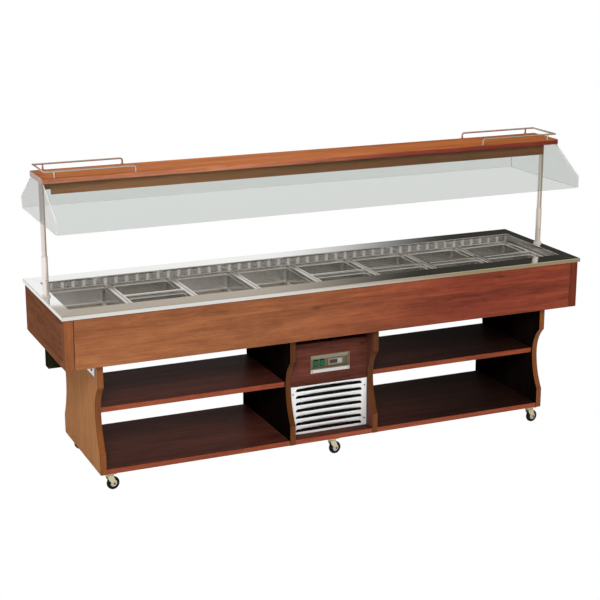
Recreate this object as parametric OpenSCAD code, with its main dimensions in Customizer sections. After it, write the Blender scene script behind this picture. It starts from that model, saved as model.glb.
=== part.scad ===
// Mobile salad bar: a cooled eight-pan well in a wooden tank on a castor base,
// with a sneeze-guard canopy on two posts. Millimetres, +Z up, floor at z = 0,
// length along X, front at -Y.

/* [Pans] */
// Width of one pan along the counter
pan_w = 325; // [318:1:330]
// Depth of one full pan across the counter
pan_d = 530; // [510:1:545]
// Depth of a pan below its flange
pan_h = 100; // [65:1:110]
// Sheet thickness of a pan
pan_sheet = 2; // [1.5:0.1:2.5]
// Width of the pan flange
pan_flange = 12; // [10:0.5:14]
// Radius of the pan corners
pan_corner = 18; // [14:1:28]
// Gap between neighbouring pans
pan_gap = 9.5; // [7:0.5:13]
// Gap between the front and back pans of a split place
pan_split_gap = 1; // [0.8:0.1:2]
// Clearance from the pan ends to the well edge
pan_side_gap = 2; // [1:0.5:6]
// Drop from the worktop to the pan flanges
pan_sink = 38; // [32:1:46]

/* [Worktop] */
// Height of the steel worktop above the floor
rim_top = 915; // [905:1:935]
// Width of the rim at each end of the well
rim_end = 62; // [54:1:72]
// Width of the rim along the front and back of the well
rim_side = 113; // [104:1:124]
// Sheet thickness of the rim
rim_sheet = 3; // [2:0.5:4]
// Height of the turned-down outer edge of the rim
rim_skirt = 20; // [14:1:26]
// Depth of the turned-in edge round the well
rim_lip = 5; // [3:0.5:6]

/* [Tank] */
// Height of the insulated tank
tank_h = 244; // [232:1:252]
// Thickness of the insulated tank floor
tank_floor = 40; // [30:1:44]
// Width of the air duct behind each slotted wall
duct_w = 41; // [30:1:46]
// Sheet thickness of the well liner
liner_t = 2; // [1.5:0.1:2.5]
// Gap between the turned-in edge and the ends of the liner
cavity_end = 1; // [0.5:0.5:4]
// Thickness of the slotted air walls
air_wall_t = 2; // [1.5:0.1:2.5]
// Number of slot columns in an air wall
slot_cols = 48; // [40:1:52]
// Number of slots in a column
slot_rows = 4; // [2:1:4]
// Length of one slot
slot_l = 40; // [32:1:44]
// Height of one slot
slot_h = 4; // [3:0.2:5]
// Pitch of the slots in a column
slot_pitch = 8; // [7.5:0.1:8.4]
// Drop from the turned-in edge to the first slot
slot_drop = 2; // [1:0.5:3]
// Lap of the bars and ledges under the pan flanges
bar_lap = 6.5; // [4:0.5:8]
// Sheet thickness of the bars and ledges
bar_t = 2; // [1.5:0.1:2.5]
// Depth of the bars below their flanges
bar_h = 16; // [10:1:20]
// Diameter of the drain pipe
drain_d = 26; // [20:1:32]
// Distance of the drain from the end of the well
drain_inset = 24; // [21:1:27]
// Length of the evaporator
evap_l = 1180; // [900:10:1280]
// Depth of the evaporator
evap_w = 250; // [180:5:300]
// Height of the evaporator
evap_h = 44; // [30:1:46]

/* [Aprons] */
// Drop of the aprons below the tank
apron_drop = 18; // [10:1:26]
// Thickness of the apron boards
apron_t = 20; // [16:1:24]
// Overhang of the rim past the aprons
apron_inset = 9; // [6:0.5:14]
// Width of the corner posts
corner_w = 44; // [36:1:54]
// Gap between a corner post and the boards
corner_groove = 3; // [1.5:0.5:5]

/* [Base] */
// Setback of the end panels from the rim ends
base_inset = 170; // [156:1:180]
// Depth of the end panels and dividers
panel_d = 650; // [638:1:662]
// Thickness of the panels
panel_t = 30; // [24:1:34]
// Height of the underside of the base
base_z = 91; // [88:1:96]
// Clear width of the cooling unit between the dividers
unit_w = 430; // [410:2:450]
// Depth of the curved waist in each panel edge
waist = 60; // [45:1:68]
// Height of the straight foot of the panels
foot_h = 104; // [90:1:118]
// Height of the lower arc of the waist
waist_low = 200; // [185:1:215]
// Height of the upper arc of the waist
waist_high = 135; // [120:1:150]
// Height of the middle shelf tops above the underside of the base
shelf_rise = 319; // [309:1:333]
// Depth of the middle shelves
shelf_d = 510; // [480:1:522]
// Thickness of all shelf boards
shelf_t = 26; // [20:1:29]
// Setback of the bottom boards from the front of the panels
board_front = 3; // [1:1:10]
// Setback of the bottom boards from the back of the panels
board_back = 35; // [15:1:40]
// Length of the support angles under the tank
angle_l = 568; // [520:1:600]
// Height of the support angles
angle_h = 90; // [60:1:100]
// Reach of the support angles under the tank
angle_w = 45; // [30:1:60]
// Sheet thickness of the support angles
angle_t = 3; // [2:0.5:4]

/* [Cooling unit] */
// Distance of the unit fronts from the middle of the counter
unit_face = 255; // [248:1:262]
// Thickness of the unit panels
unit_panel_t = 18; // [15:1:22]
// Height of the unit panels
unit_panel_h = 219; // [205:1:245]
// Height of the louvre grilles
grille_h = 258; // [253:1:280]
// Sheet thickness of the grilles
grille_t = 2; // [1.5:0.1:2.5]
// Depth of the turned-in edge of the grilles
grille_edge = 12; // [8:1:18]
// Number of louvres
louvre_n = 7; // [5:1:7]
// Pitch of the louvres
louvre_pitch = 36; // [30:0.5:36.5]
// Length of the louvre slots
louvre_l = 370; // [330:2:384]
// Height of the louvre slots
louvre_h = 13; // [9:0.5:17]
// Height of the lowest louvre slot above the base board
louvre_foot = 20; // [17:1:22]
// Slope of the louvre blades
louvre_slope = 35; // [20:1:50]
// Width of the control plate
control_w = 218; // [200:1:236]
// Height of the control plate
control_h = 93; // [84:1:104]
// Height of the middle of the control plate above the grille
control_rise = 106; // [95:1:125]
// Sideways offset of the control plate
control_x = 5; // [0:1:12]
// Depth of the recess in the control plate
control_depth = 14; // [11:0.5:18]
// Margin round the recess of the control plate
control_rim = 5; // [3:0.5:8]
// Height of the bare strip along the foot of the plate
control_strip = 17; // [12:1:20]
// Width of the rocker switches
rocker_w = 22; // [18:0.5:24]
// Height of the rocker switches
rocker_h = 30; // [26:0.5:34]
// Gap between the rocker switches
rocker_space = 11.5; // [8:0.5:14]
// Diameter of the rocker pivot pins
rocker_pin = 3; // [2:0.1:4]
// Running clearance of pins, axles and bearings
fit = 0.05; // [0.02:0.01:0.08]
// Width of the thermostat
thermostat_w = 80; // [70:1:86]
// Height of the thermostat
thermostat_h = 35; // [30:1:38]
// Depth of the thermostat behind the plate
thermostat_d = 50; // [30:1:70]
// Diameter of the compressor shell
compressor_d = 170; // [150:2:180]
// Height of the compressor
compressor_h = 190; // [160:2:220]
// Width of the condenser
condenser_w = 300; // [260:2:330]
// Depth of the condenser
condenser_d = 50; // [40:1:56]
// Height of the condenser
condenser_h = 240; // [230:2:260]
// Diameter of the condenser fan
fan_d = 200; // [170:1:216]
// Number of fan blades
fan_blades_n = 5; // [3:1:6]
// Diameter of the copper pipes
pipe_d = 10; // [8:0.5:12]

/* [Castors] */
// Setback of the outer castors from the outside of the end panels
castor_inset = 51; // [40:1:70]
// Setback of the castors from the edges of the panels
castor_edge = 33; // [30:1:43]
// Side of the square castor plates
plate_s = 60; // [54:1:64]
// Thickness of the castor plates
plate_t = 3; // [2.5:0.5:4]
// Diameter of the castor wheels
wheel_d = 65; // [58:1:68]
// Width of the castor tyres
wheel_w = 22; // [18:1:24]
// Diameter of the castor axles
axle_d = 8; // [6:0.5:10]
// Trail of the castor wheels behind the swivel
trail = 18; // [14:1:22]
// Direction in which the castors trail at rest
trail_angle = 10; // [0:1:360]
// Thickness of the castor forks
fork_t = 2.5; // [2:0.5:3]

/* [Canopy] */
// Setback of the posts from the rim ends
post_inset = 25; // [24:1:32]
// Diameter of the upper post tubes
tube_d = 25; // [20:0.5:26]
// Wall of the post tubes
tube_wall = 2; // [1.5:0.1:3]
// Diameter of the lower post sleeves
sleeve_d = 30; // [28:0.5:32]
// Height of the post sleeves
sleeve_h = 198; // [165:1:265]
// Depth of the tubes in the sleeves
sleeve_plug = 110; // [60:1:140]
// Diameter of the post foot flanges
flange_d = 42; // [36:1:46]
// Height of the post foot flanges
flange_h = 8; // [5:1:14]
// Height of the overshelf above the worktop
top_rise = 565; // [525:1:605]
// Clearance between a post and the glass end
glass_clear = 1.5; // [0.5:0.5:10]
// Width of the overshelf
top_w = 240; // [232:1:260]
// Thickness of the overshelf
top_t = 28; // [24:1:34]
// Rounding of the long edges of the overshelf
top_round = 7; // [4:1:11]
// Setback of the fascias from the post centres
fascia_gap = 30; // [22:1:70]
// Height of the fascias
fascia_h = 58; // [45:1:75]
// Thickness of the fascias
fascia_t = 12; // [10:1:18]
// Width over the fascias
fascia_w = 140; // [134:1:160]
// Thickness of the glass
glass_t = 6; // [5:0.5:8]
// Setback of the glass ends from the overshelf ends
glass_inset = 3; // [1:0.5:5]
// Reach of the lower glass past the overshelf
glass_reach = 214; // [190:2:240]
// Drop from the overshelf to the fold in the glass
glass_fold = 134; // [110:1:160]
// Height of the vertical lower band of the glass
glass_band = 61; // [45:1:80]
// Depth of the glass in the overshelf groove
groove_h = 8; // [5:1:10]
// Diameter of the lamp tubes
lamp_d = 26; // [16:1:26]
// Clearance between a lamp fitting and its post
lamp_end = 112.5; // [60:0.5:200]
// Length of the lamp gear box
gear_l = 76; // [60:1:90]
// Width of the lamp gear box
gear_w = 62; // [50:1:80]
// Height of the lamp gear box
gear_h = 133; // [100:1:160]

/* [Gallery rails] */
// Diameter of the rail rod
rod_d = 8; // [6:0.5:10]
// Height of the rods above the overshelf
rail_h = 28; // [24:1:36]
// Setback of the rods from the long edges of the overshelf
rail_edge = 10; // [9.5:0.5:14]
// Setback of the rods from the ends of the overshelf
rail_end = 14; // [10:1:20]
// Length of each rail
rail_l = 440; // [380:2:520]
// Distance of the outer feet from the rail ends
rail_foot = 47; // [30:1:70]
// Diameter of the foot flanges
foot_d = 18; // [14:1:20]

/* [Hidden] */
$fn = 64;
arc_sides = 180;
through = 1;

// Worktop and well
pan_places = 8;
pan_pitch = pan_w + pan_gap;
well_l = pan_places * pan_pitch;
well_w = pan_d + 2 * pan_side_gap;
rim_l = well_l + 2 * rim_end;
rim_w = well_w + 2 * rim_side;
rim_under = rim_top - rim_sheet;
tank_z = rim_under - tank_h;
apron_z = tank_z - apron_drop;
flange_z = rim_top - pan_sink;
ledge_z = flange_z - pan_sheet;
bar_w = pan_gap + 2 * bar_lap;
split_w = pan_split_gap + 2 * bar_lap;
apron_l = rim_l - 2 * apron_inset;
apron_w = rim_w - 2 * apron_inset;
tank_l = apron_l - 2 * apron_t;
tank_w = apron_w - 2 * apron_t;
air_y = well_w / 2 + rim_sheet;
ledge_w = rim_sheet + pan_side_gap + bar_lap;
slot_top = rim_under - rim_lip - slot_drop - slot_h / 2;
cavity_l = well_l + 2 * (rim_sheet + cavity_end + liner_t);
cavity_w = 2 * (air_y + air_wall_t + duct_w);
cavity_z = tank_z + tank_floor;
liner_z = cavity_z + liner_t;
pipe_hole_d = 3 * pipe_d;
pipe_spread = 0.7 * pipe_d;
pipe_hole = [150, 215];
drain_x = cavity_l / 2 - drain_inset;
drain_y = -180;
drain_drop = 50;
drain_wall = 2.5;
drain_collar = 10;
evap_foot = 8;
evap_tube_d = 10;
evap_rows = 4;
slot_col_pitch = well_l / slot_cols;
split = [false, true, false, false, true, true, true, true];

// Base
half_base = rim_l / 2 - base_inset;
panel_y = panel_d / 2;
waist_foot = base_z + foot_h;
waist_mid = waist_foot + waist_low;
waist_top = waist_mid + waist_high;
shelf_top = base_z + shelf_rise;
divider_in = unit_w / 2;
divider_out = divider_in + panel_t;
bay_out = half_base - panel_t;
bottom_top = base_z + shelf_t;

// Cooling unit
grille_top = bottom_top + grille_h;
unit_panel_top = grille_top + unit_panel_h;
control_z = grille_top + control_rise;
grille_gap = 1;
louvre_round = louvre_h / 2;
blade_w = 20;
blade_t = 1.5;
control_cut = 4;
control_sheet = 1.5;
control_face = -unit_face + control_depth;
rocker_edge = 19.5;
rocker_x = -control_w / 2 + control_rim + control_sheet + rocker_edge + rocker_w / 2;
rocker_z = control_z;
rocker_back = 9;
rocker_front = 4;
rocker_dip = 2;
yoke_h = 20;
rocker_gap = 0.8;
rocker_tilt = 7;
yoke_t = 2;
thermostat_space = 28;
thermostat_x = control_w / 2 - control_rim - control_sheet - thermostat_space - thermostat_w / 2;
thermostat_bezel = 4;
thermostat_edge = 3;
condenser_gap = 4;
condenser_y = -unit_face + grille_t + blade_w + condenser_gap + condenser_d / 2;
condenser_foot = 6;
condenser_z = bottom_top + condenser_foot;
condenser_fins = 24;
condenser_rows = 5;
condenser_row_pitch = condenser_h / (condenser_rows + 1);
fin_inset = 8;
tube_row = 8;
pipe_over = 60;
condenser_plate = 3;
fan_z = condenser_z + condenser_h / 2;
fan_hub_d = 56;
fan_hub_h = 18;
fan_blade_t = 2;
fan_blade_pitch = 28;
fan_blade_root = 2;
fan_gap = 6;
fan_shaft_d = 6;
shroud_t = 3;
shroud_depth = 34;
shroud_y = condenser_y + condenser_d / 2;
fan_y = shroud_y + shroud_t + shroud_depth / 2;
motor_d = 78;
motor_l = 56;
motor_gap = 8;
bracket_t = 4;
bracket_w = 40;
compressor_at = [95, 135];
compressor_base_t = 4;
compressor_feet_h = 8;
compressor_neck = 22;
compressor_foot_d = 20;
inlet_x = -150;
inlet_d = 22;
inlet_l = 16;
inlet_flange = 8;
hex_sides = 6;
gear_y = 45;
gear_gap = 1;

// Castors
axle_z = wheel_d / 2;
race_d = 44;
race_h = 8;
race_gap = 0.5;
pin_d = 10;
fork_gap = 1.5;
fork_w = 28;
hub_d = 26;
hub_w = wheel_w + 2;
castor_x = half_base - castor_inset;
castor_y = panel_y - castor_edge;
castor_places = [[-castor_x, -castor_y], [0, -castor_y], [castor_x, -castor_y],
    [-castor_x, castor_y], [0, castor_y], [castor_x, castor_y]];

// Canopy
post_x = rim_l / 2 - post_inset;
sleeve_top = rim_top + sleeve_h;
top_z = rim_top + top_rise;
top_l = 2 * (post_x + tube_d / 2 + glass_clear + glass_t + glass_inset);
fascia_l = 2 * (post_x - fascia_gap);
glass_l = top_l - 2 * glass_inset;
glass_edge = 1;
glass_top_y = top_w / 2 - glass_edge;
glass_low_y = top_w / 2 + glass_reach;
fold_z = top_z - glass_fold;
glass_slope = (glass_low_y - glass_top_y) / glass_fold;
glass_across = glass_t * sqrt(1 + glass_slope * glass_slope);
end_glass_x = glass_l / 2 - glass_t;
rail_y = top_w / 2 - rail_edge;
rail_out = top_l / 2 - rail_end;
rail_in = rail_out - rail_l;
rail_foot_x = rail_out - rail_foot;
lamp_gap = 50;
lamp_l = post_x - tube_d / 2 - lamp_end - lamp_gap;
lamp_drop = 42;
batten_w = 60;
batten_h = 24;
holder_t = 8;
rail_foot_h = 3;
elbow_r = 12;

// A box given by its limits on the three axes
module block(x, y, z) {
    translate([x[0], y[0], z[0]])
        cube([x[1] - x[0], y[1] - y[0], z[1] - z[0]]);
}

// The same shape at both ends of the counter
module both_ends() {
    children();
    mirror([1, 0, 0]) children();
}

// The same shape at the front and the back
module both_sides() {
    children();
    mirror([0, 1, 0]) children();
}

// A rectangle with true arcs at its corners
module round_rect(l, w, r) {
    square([l - 2 * r, w], center = true);
    square([l, w - 2 * r], center = true);
    for (sx = [-1, 1], sy = [-1, 1])
        translate([sx * (l / 2 - r), sy * (w / 2 - r)]) circle(r);
}

// A straight rod between two points that differ on one axis or more
module rod(a, b, d) {
    run = b - a;
    length = norm(run);
    translate(a)
        rotate([0, acos(run[2] / length), atan2(run[1], run[0])])
            cylinder(d = d, h = length);
}

// ---- Worktop and well ----

module worktop_rim() {
    color("silver")
        difference() {
            block([-rim_l / 2, rim_l / 2], [-rim_w / 2, rim_w / 2], [rim_top - rim_skirt, rim_top]);
            difference() {
                block([-rim_l / 2 + rim_sheet, rim_l / 2 - rim_sheet],
                    [-rim_w / 2 + rim_sheet, rim_w / 2 - rim_sheet],
                    [rim_top - rim_skirt - through, rim_under]);
                block([-well_l / 2 - rim_sheet, well_l / 2 + rim_sheet], [-air_y, air_y],
                    [rim_under - rim_lip, rim_top]);
            }
            block([-well_l / 2, well_l / 2], [-well_w / 2, well_w / 2],
                [rim_top - rim_skirt - through, rim_top + through]);
        }
}

module tank_body() {
    color("gainsboro")
        difference() {
            block([-tank_l / 2, tank_l / 2], [-tank_w / 2, tank_w / 2], [tank_z, rim_under]);
            block([-cavity_l / 2, cavity_l / 2], [-cavity_w / 2, cavity_w / 2],
                [cavity_z, rim_top]);
            well_holes();
        }
}

module well_holes() {
    translate([-drain_x, drain_y, tank_z - through])
        cylinder(d = drain_d, h = tank_floor + liner_t + 2 * through);
    translate([pipe_hole[0], pipe_hole[1], tank_z - through])
        cylinder(d = pipe_hole_d, h = tank_floor + liner_t + 2 * through);
}

module well_liner() {
    color("lightgray")
        difference() {
            block([-cavity_l / 2, cavity_l / 2], [-cavity_w / 2, cavity_w / 2],
                [cavity_z, rim_under]);
            block([-cavity_l / 2 + liner_t, cavity_l / 2 - liner_t],
                [-cavity_w / 2 + liner_t, cavity_w / 2 - liner_t], [liner_z, rim_top]);
            well_holes();
        }
}

module air_wall_outline() {
    difference() {
        translate([-cavity_l / 2 + liner_t, liner_z])
            square([cavity_l - 2 * liner_t, rim_under - liner_z]);
        for (col = [0 : slot_cols - 1], row = [0 : slot_rows - 1])
            translate([-well_l / 2 + (col + 0.5) * slot_col_pitch,
                slot_top - row * slot_pitch])
                square([slot_l, slot_h], center = true);
    }
}

module air_walls() {
    color("silver")
        both_sides()
            translate([0, air_y + air_wall_t, 0])
                rotate([90, 0, 0])
                    linear_extrude(air_wall_t) air_wall_outline();
}

// Ledges along both air walls, cross bars between the places and a strip
// along the middle of every split place
module pan_bars() {
    ledge_y = air_y - ledge_w;
    color("darkgray") {
        both_sides() {
            block([-well_l / 2, well_l / 2], [ledge_y, air_y], [ledge_z - bar_t, ledge_z]);
            block([-well_l / 2, well_l / 2], [air_y - bar_t, air_y], [ledge_z - bar_h, ledge_z]);
        }
        for (i = [1 : pan_places - 1])
            translate([-well_l / 2 + i * pan_pitch, 0, 0]) {
                block([-bar_w / 2, bar_w / 2], [-ledge_y, ledge_y], [ledge_z - bar_t, ledge_z]);
                block([-bar_t, bar_t], [-ledge_y, ledge_y], [ledge_z - bar_h, ledge_z]);
            }
        for (i = [0 : pan_places - 1])
            if (split[i])
                split_bar(i);
    }
}

module split_bar(i) {
    left = i == 0 ? 0 : bar_w / 2;
    right = i == pan_places - 1 ? 0 : bar_w / 2;
    x = [-well_l / 2 + i * pan_pitch + left, -well_l / 2 + (i + 1) * pan_pitch - right];
    block(x, [-split_w / 2, split_w / 2], [ledge_z - bar_t, ledge_z]);
}

module evaporator() {
    half = [evap_l / 2, evap_w / 2, evap_h / 2];
    base = liner_z + evap_foot;
    color("lightsteelblue") {
        block([-half[0], half[0]], [-half[1], half[1]], [base, base + evap_h]);
        for (sx = [-1, 1])
            translate([sx * (half[0] - 2 * evap_foot), 0, 0])
                block([-evap_foot, evap_foot], [-half[1], half[1]], [liner_z, base]);
        for (row = [0 : evap_rows - 1], sx = [-1, 1])
            translate([sx * half[0], -half[1] + (row + 0.5) * evap_w / evap_rows,
                base + half[2]])
                rotate([90, 0, sx * 90])
                    rotate([0, 90, 0])
                        evaporator_bend(sx);
    }
}

// A half turn of tube outside the fins
module evaporator_bend(side) {
    rotate([0, 0, side * 90])
        rotate_extrude(angle = 180)
            translate([evap_h / 4, 0]) circle(d = evap_tube_d);
}

module drain_pipe() {
    color("gray")
        translate([-drain_x, drain_y, tank_z - drain_drop])
            difference() {
                union() {
                    cylinder(d = drain_d - 2 * fit, h = drain_drop + tank_floor + liner_t);
                    translate([0, 0, drain_drop - drain_collar])
                        cylinder(d = drain_d + drain_collar, h = drain_collar);
                }
                translate([0, 0, -through])
                    cylinder(d = drain_d - 2 * drain_wall,
                        h = drain_drop + tank_floor + liner_t + 2 * through);
            }
}

// ---- Aprons ----

module aprons() {
    long_x = apron_l / 2 - corner_w - corner_groove;
    short_y = apron_w / 2 - corner_w - corner_groove;
    color("sienna") {
        both_sides()
            block([-long_x, long_x], [tank_w / 2, apron_w / 2], [apron_z, rim_under]);
        both_ends()
            block([tank_l / 2, apron_l / 2], [-short_y, short_y], [apron_z, rim_under]);
    }
}

module corner_posts() {
    color("saddlebrown")
        both_ends()
            both_sides()
                difference() {
                    block([apron_l / 2 - corner_w, apron_l / 2],
                        [apron_w / 2 - corner_w, apron_w / 2], [apron_z, rim_under]);
                    block([0, tank_l / 2], [0, tank_w / 2], [apron_z - through, rim_top]);
                }
}

// ---- Base ----

// Half of the waist cut: an arc from the narrowest point to one end
module waist_arc(end_z) {
    rise = abs(end_z - waist_mid);
    r = (rise * rise + waist * waist) / (2 * waist);
    intersection() {
        translate([panel_y - waist + r, waist_mid]) circle(r, $fn = arc_sides);
        translate([0, min(end_z, waist_mid)]) square([panel_d, rise]);
    }
}

module panel_outline() {
    difference() {
        translate([-panel_y, base_z]) square([panel_d, tank_z - base_z]);
        for (side = [0, 1])
            mirror([side, 0]) {
                waist_arc(waist_top);
                waist_arc(waist_foot);
            }
    }
}

// A panel that stands across the counter with its inner face at x
module base_panel(x) {
    translate([x, 0, 0])
        rotate([90, 0, 90])
            linear_extrude(panel_t) panel_outline();
}

module end_panels() {
    color("peru")
        both_ends() base_panel(bay_out);
}

module dividers() {
    color("peru")
        both_ends() base_panel(divider_in);
}

module shelves() {
    board_y = [-panel_y + board_front, panel_y - board_back];
    color("firebrick") {
        block([-divider_in, divider_in], board_y, [base_z, bottom_top]);
        both_ends() {
            block([divider_out, bay_out], board_y, [base_z, bottom_top]);
            block([divider_out, bay_out], [-shelf_d / 2, shelf_d / 2],
                [shelf_top - shelf_t, shelf_top]);
        }
    }
}

module support_angles() {
    color("lightblue")
        both_ends() {
            block([half_base, half_base + angle_t], [-angle_l / 2, angle_l / 2],
                [tank_z - angle_h, tank_z]);
            block([half_base, half_base + angle_w], [-angle_l / 2, angle_l / 2],
                [tank_z - angle_t, tank_z]);
        }
}

// ---- Cooling unit ----

module unit_panels() {
    panel_z = [grille_top, unit_panel_top];
    cut_w = control_w / 2 - control_cut;
    cut_h = control_h / 2 - control_cut;
    color("sienna") {
        difference() {
            block([-divider_in, divider_in], [-unit_face, -unit_face + unit_panel_t], panel_z);
            block([control_x - cut_w, control_x + cut_w],
                [-unit_face - through, -unit_face + unit_panel_t + through],
                [control_z - cut_h, control_z + cut_h]);
        }
        difference() {
            block([-divider_in, divider_in], [unit_face - unit_panel_t, unit_face], panel_z);
            inlet_bore(inlet_d);
        }
    }
}

module inlet_bore(d) {
    translate([inlet_x, unit_face + through, control_z])
        rotate([90, 0, 0])
            cylinder(d = d, h = unit_panel_t + 2 * through);
}

module louvre_outline() {
    difference() {
        translate([-divider_in + grille_gap, bottom_top])
            square([unit_w - 2 * grille_gap, grille_h - grille_gap]);
        for (i = [0 : louvre_n - 1])
            translate([0, bottom_top + louvre_foot + i * louvre_pitch])
                round_rect(louvre_l, louvre_h, louvre_round - fit);
    }
}

module grille() {
    edge_x = divider_in - grille_gap;
    rotate([90, 0, 0])
        linear_extrude(grille_t) louvre_outline();
    for (side = [0, 1])
        mirror([side, 0, 0])
            block([edge_x - grille_t, edge_x], [-grille_t, grille_edge],
                [bottom_top, grille_top - grille_gap]);
    for (i = [0 : louvre_n - 1])
        translate([0, 0, bottom_top + louvre_foot + i * louvre_pitch - louvre_h / 2])
            rotate([-louvre_slope, 0, 0])
                block([-edge_x, edge_x], [-grille_t, blade_w], [-blade_t, 0]);
}

module louvre_grilles() {
    color("whitesmoke") {
        translate([0, -unit_face + grille_t, 0]) grille();
        rotate([0, 0, 180])
            translate([0, -unit_face + grille_t, 0]) grille();
    }
}

module control_plate() {
    half_w = control_w / 2;
    half_h = control_h / 2;
    in_w = half_w - control_rim;
    z_foot = control_z - half_h;
    color("silver")
        translate([control_x, 0, 0])
            difference() {
                union() {
                    block([-half_w, half_w], [-unit_face - control_sheet, -unit_face],
                        [z_foot, control_z + half_h]);
                    block([-in_w, in_w], [-unit_face, control_face + control_sheet],
                        [z_foot + control_strip - control_sheet, control_z + half_h - control_rim]);
                }
                block([-in_w + control_sheet, in_w - control_sheet],
                    [-unit_face - 2 * control_sheet, control_face],
                    [z_foot + control_strip, control_z + half_h - control_rim - control_sheet]);
                for (i = [0, 1])
                    rocker_window(i);
                block([thermostat_x - thermostat_w / 2 + thermostat_edge,
                    thermostat_x + thermostat_w / 2 - thermostat_edge],
                    [control_face - through, control_face + 2 * control_sheet],
                    [rocker_z - thermostat_h / 2 + thermostat_edge,
                    rocker_z + thermostat_h / 2 - thermostat_edge]);
            }
    color("black")
        translate([control_x, 0, 0])
            for (i = [0, 1])
                rocker_yoke(i);
}

function rocker_mid(i) = rocker_x + i * (rocker_w + rocker_space);

module rocker_window(i) {
    translate([rocker_mid(i), 0, rocker_z])
        block([-rocker_w / 2 - rocker_gap, rocker_w / 2 + rocker_gap],
            [control_face - through, control_face + 2 * control_sheet],
            [-rocker_h / 2 - rocker_gap, rocker_h / 2 + rocker_gap]);
}

// Two ears behind the plate that carry a rocker's pivot pin
module rocker_yoke(i) {
    inner = rocker_w / 2 + rocker_gap;
    back = control_face + control_sheet;
    translate([rocker_mid(i), 0, rocker_z])
        for (side = [0, 1])
            mirror([side, 0, 0])
                difference() {
                    block([inner, inner + yoke_t], [back, back + rocker_back],
                        [-yoke_h / 2, yoke_h / 2]);
                    translate([inner - through, back + rocker_back / 2, 0])
                        rotate([0, 90, 0])
                            cylinder(d = rocker_pin + 2 * fit, h = yoke_t + 2 * through);
                }
}

// A rocker with a shallow V face and its own pivot pin
module rocker(i) {
    half_w = rocker_w / 2;
    half_h = rocker_h / 2;
    pivot_y = control_face + control_sheet + rocker_back / 2;
    color("green")
        translate([control_x + rocker_mid(i), pivot_y, rocker_z])
            rotate([rocker_tilt, 0, 0]) {
                translate([-half_w, 0, 0])
                    rotate([90, 0, 90])
                        linear_extrude(2 * half_w)
                            polygon([[-rocker_back, -half_h], [-rocker_back + rocker_dip, 0],
                                [-rocker_back, half_h], [rocker_front / 2, rocker_front],
                                [rocker_front / 2, -rocker_front]]);
                rod([-half_w - yoke_t, 0, 0], [half_w + yoke_t, 0, 0], rocker_pin);
            }
}

module thermostat() {
    half_w = thermostat_w / 2;
    half_h = thermostat_h / 2;
    color("dimgray")
        translate([control_x + thermostat_x, control_face, rocker_z]) {
            block([-half_w, half_w], [-thermostat_bezel, 0], [-half_h, half_h]);
            block([-half_w + thermostat_edge, half_w - thermostat_edge],
                [0, thermostat_d],
                [-half_h + thermostat_edge, half_h - thermostat_edge]);
        }
}

module compressor() {
    r = compressor_d / 2;
    wall_z = bottom_top + compressor_feet_h + compressor_base_t;
    wall_h = compressor_h - compressor_base_t - compressor_feet_h - compressor_neck;
    color("black")
        translate([compressor_at[0], compressor_at[1], 0]) {
            translate([0, 0, wall_z]) {
                cylinder(r = r, h = wall_h);
                translate([0, 0, wall_h])
                    cylinder(r1 = r, r2 = r - compressor_neck, h = compressor_neck);
            }
            block([-r, r], [-r, r], [bottom_top + compressor_feet_h, wall_z]);
            for (sx = [-1, 1], sy = [-1, 1])
                translate([sx * (r - compressor_neck / 2), sy * (r - compressor_neck / 2), bottom_top])
                    cylinder(d = compressor_foot_d, h = compressor_feet_h);
        }
}

module condenser() {
    half = [condenser_w / 2, condenser_d / 2];
    fin_pitch = condenser_w / condenser_fins;
    color("dimgray")
        translate([0, condenser_y, condenser_z]) {
            for (i = [0 : condenser_fins])
                translate([-half[0] + i * fin_pitch, 0, 0])
                    block([-condenser_plate / 2, condenser_plate / 2],
                        [-half[1] + fin_inset, half[1] - fin_inset], [0, condenser_h]);
            for (sx = [-1, 1])
                translate([sx * half[0], 0, 0])
                    block([-condenser_plate, condenser_plate], [-half[1], half[1]],
                        [bottom_top - condenser_z, condenser_h]);
            for (row = [1 : condenser_rows], sy = [-1, 1])
                translate([-half[0] - pipe_d, sy * tube_row, row * condenser_row_pitch])
                    rotate([0, 90, 0])
                        cylinder(d = pipe_d, h = condenser_w + 2 * pipe_d);
        }
}

module fan_motor() {
    motor_y = fan_y + fan_hub_h / 2 + motor_gap;
    half_w = condenser_w / 2;
    color("gray") {
        difference() {
            block([-half_w, half_w], [shroud_y, shroud_y + shroud_t],
                [bottom_top, condenser_z + condenser_h]);
            translate([0, shroud_y - through, fan_z])
                rotate([-90, 0, 0])
                    cylinder(d = fan_d + 2 * fan_gap, h = shroud_t + 2 * through);
        }
        translate([0, shroud_y + shroud_t, fan_z])
            rotate([-90, 0, 0])
                difference() {
                    cylinder(d = fan_d + 2 * fan_gap + 2 * shroud_t, h = shroud_depth);
                    translate([0, 0, -through])
                        cylinder(d = fan_d + 2 * fan_gap, h = shroud_depth + 2 * through);
                }
        translate([0, motor_y, fan_z])
            rotate([-90, 0, 0])
                cylinder(d = motor_d, h = motor_l);
        translate([0, motor_y - motor_gap - fan_hub_h, fan_z])
            rotate([-90, 0, 0])
                cylinder(d = fan_shaft_d, h = fan_hub_h + 2 * motor_gap);
        block([-bracket_w / 2, bracket_w / 2], [motor_y + motor_l / 3, motor_y + 2 * motor_l / 3],
            [bottom_top, fan_z - motor_d / 2 + bracket_t]);
    }
}

module fan_blades() {
    color("darkslategray")
        translate([0, fan_y, fan_z])
            rotate([-90, 0, 0])
                difference() {
                    union() {
                        cylinder(d = fan_hub_d, h = fan_hub_h, center = true);
                        for (i = [0 : fan_blades_n - 1])
                            rotate([0, 0, i * 360 / fan_blades_n])
                                fan_blade();
                    }
                    cylinder(d = fan_shaft_d + 2 * fit, h = 2 * fan_hub_h, center = true);
                }
}

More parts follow.
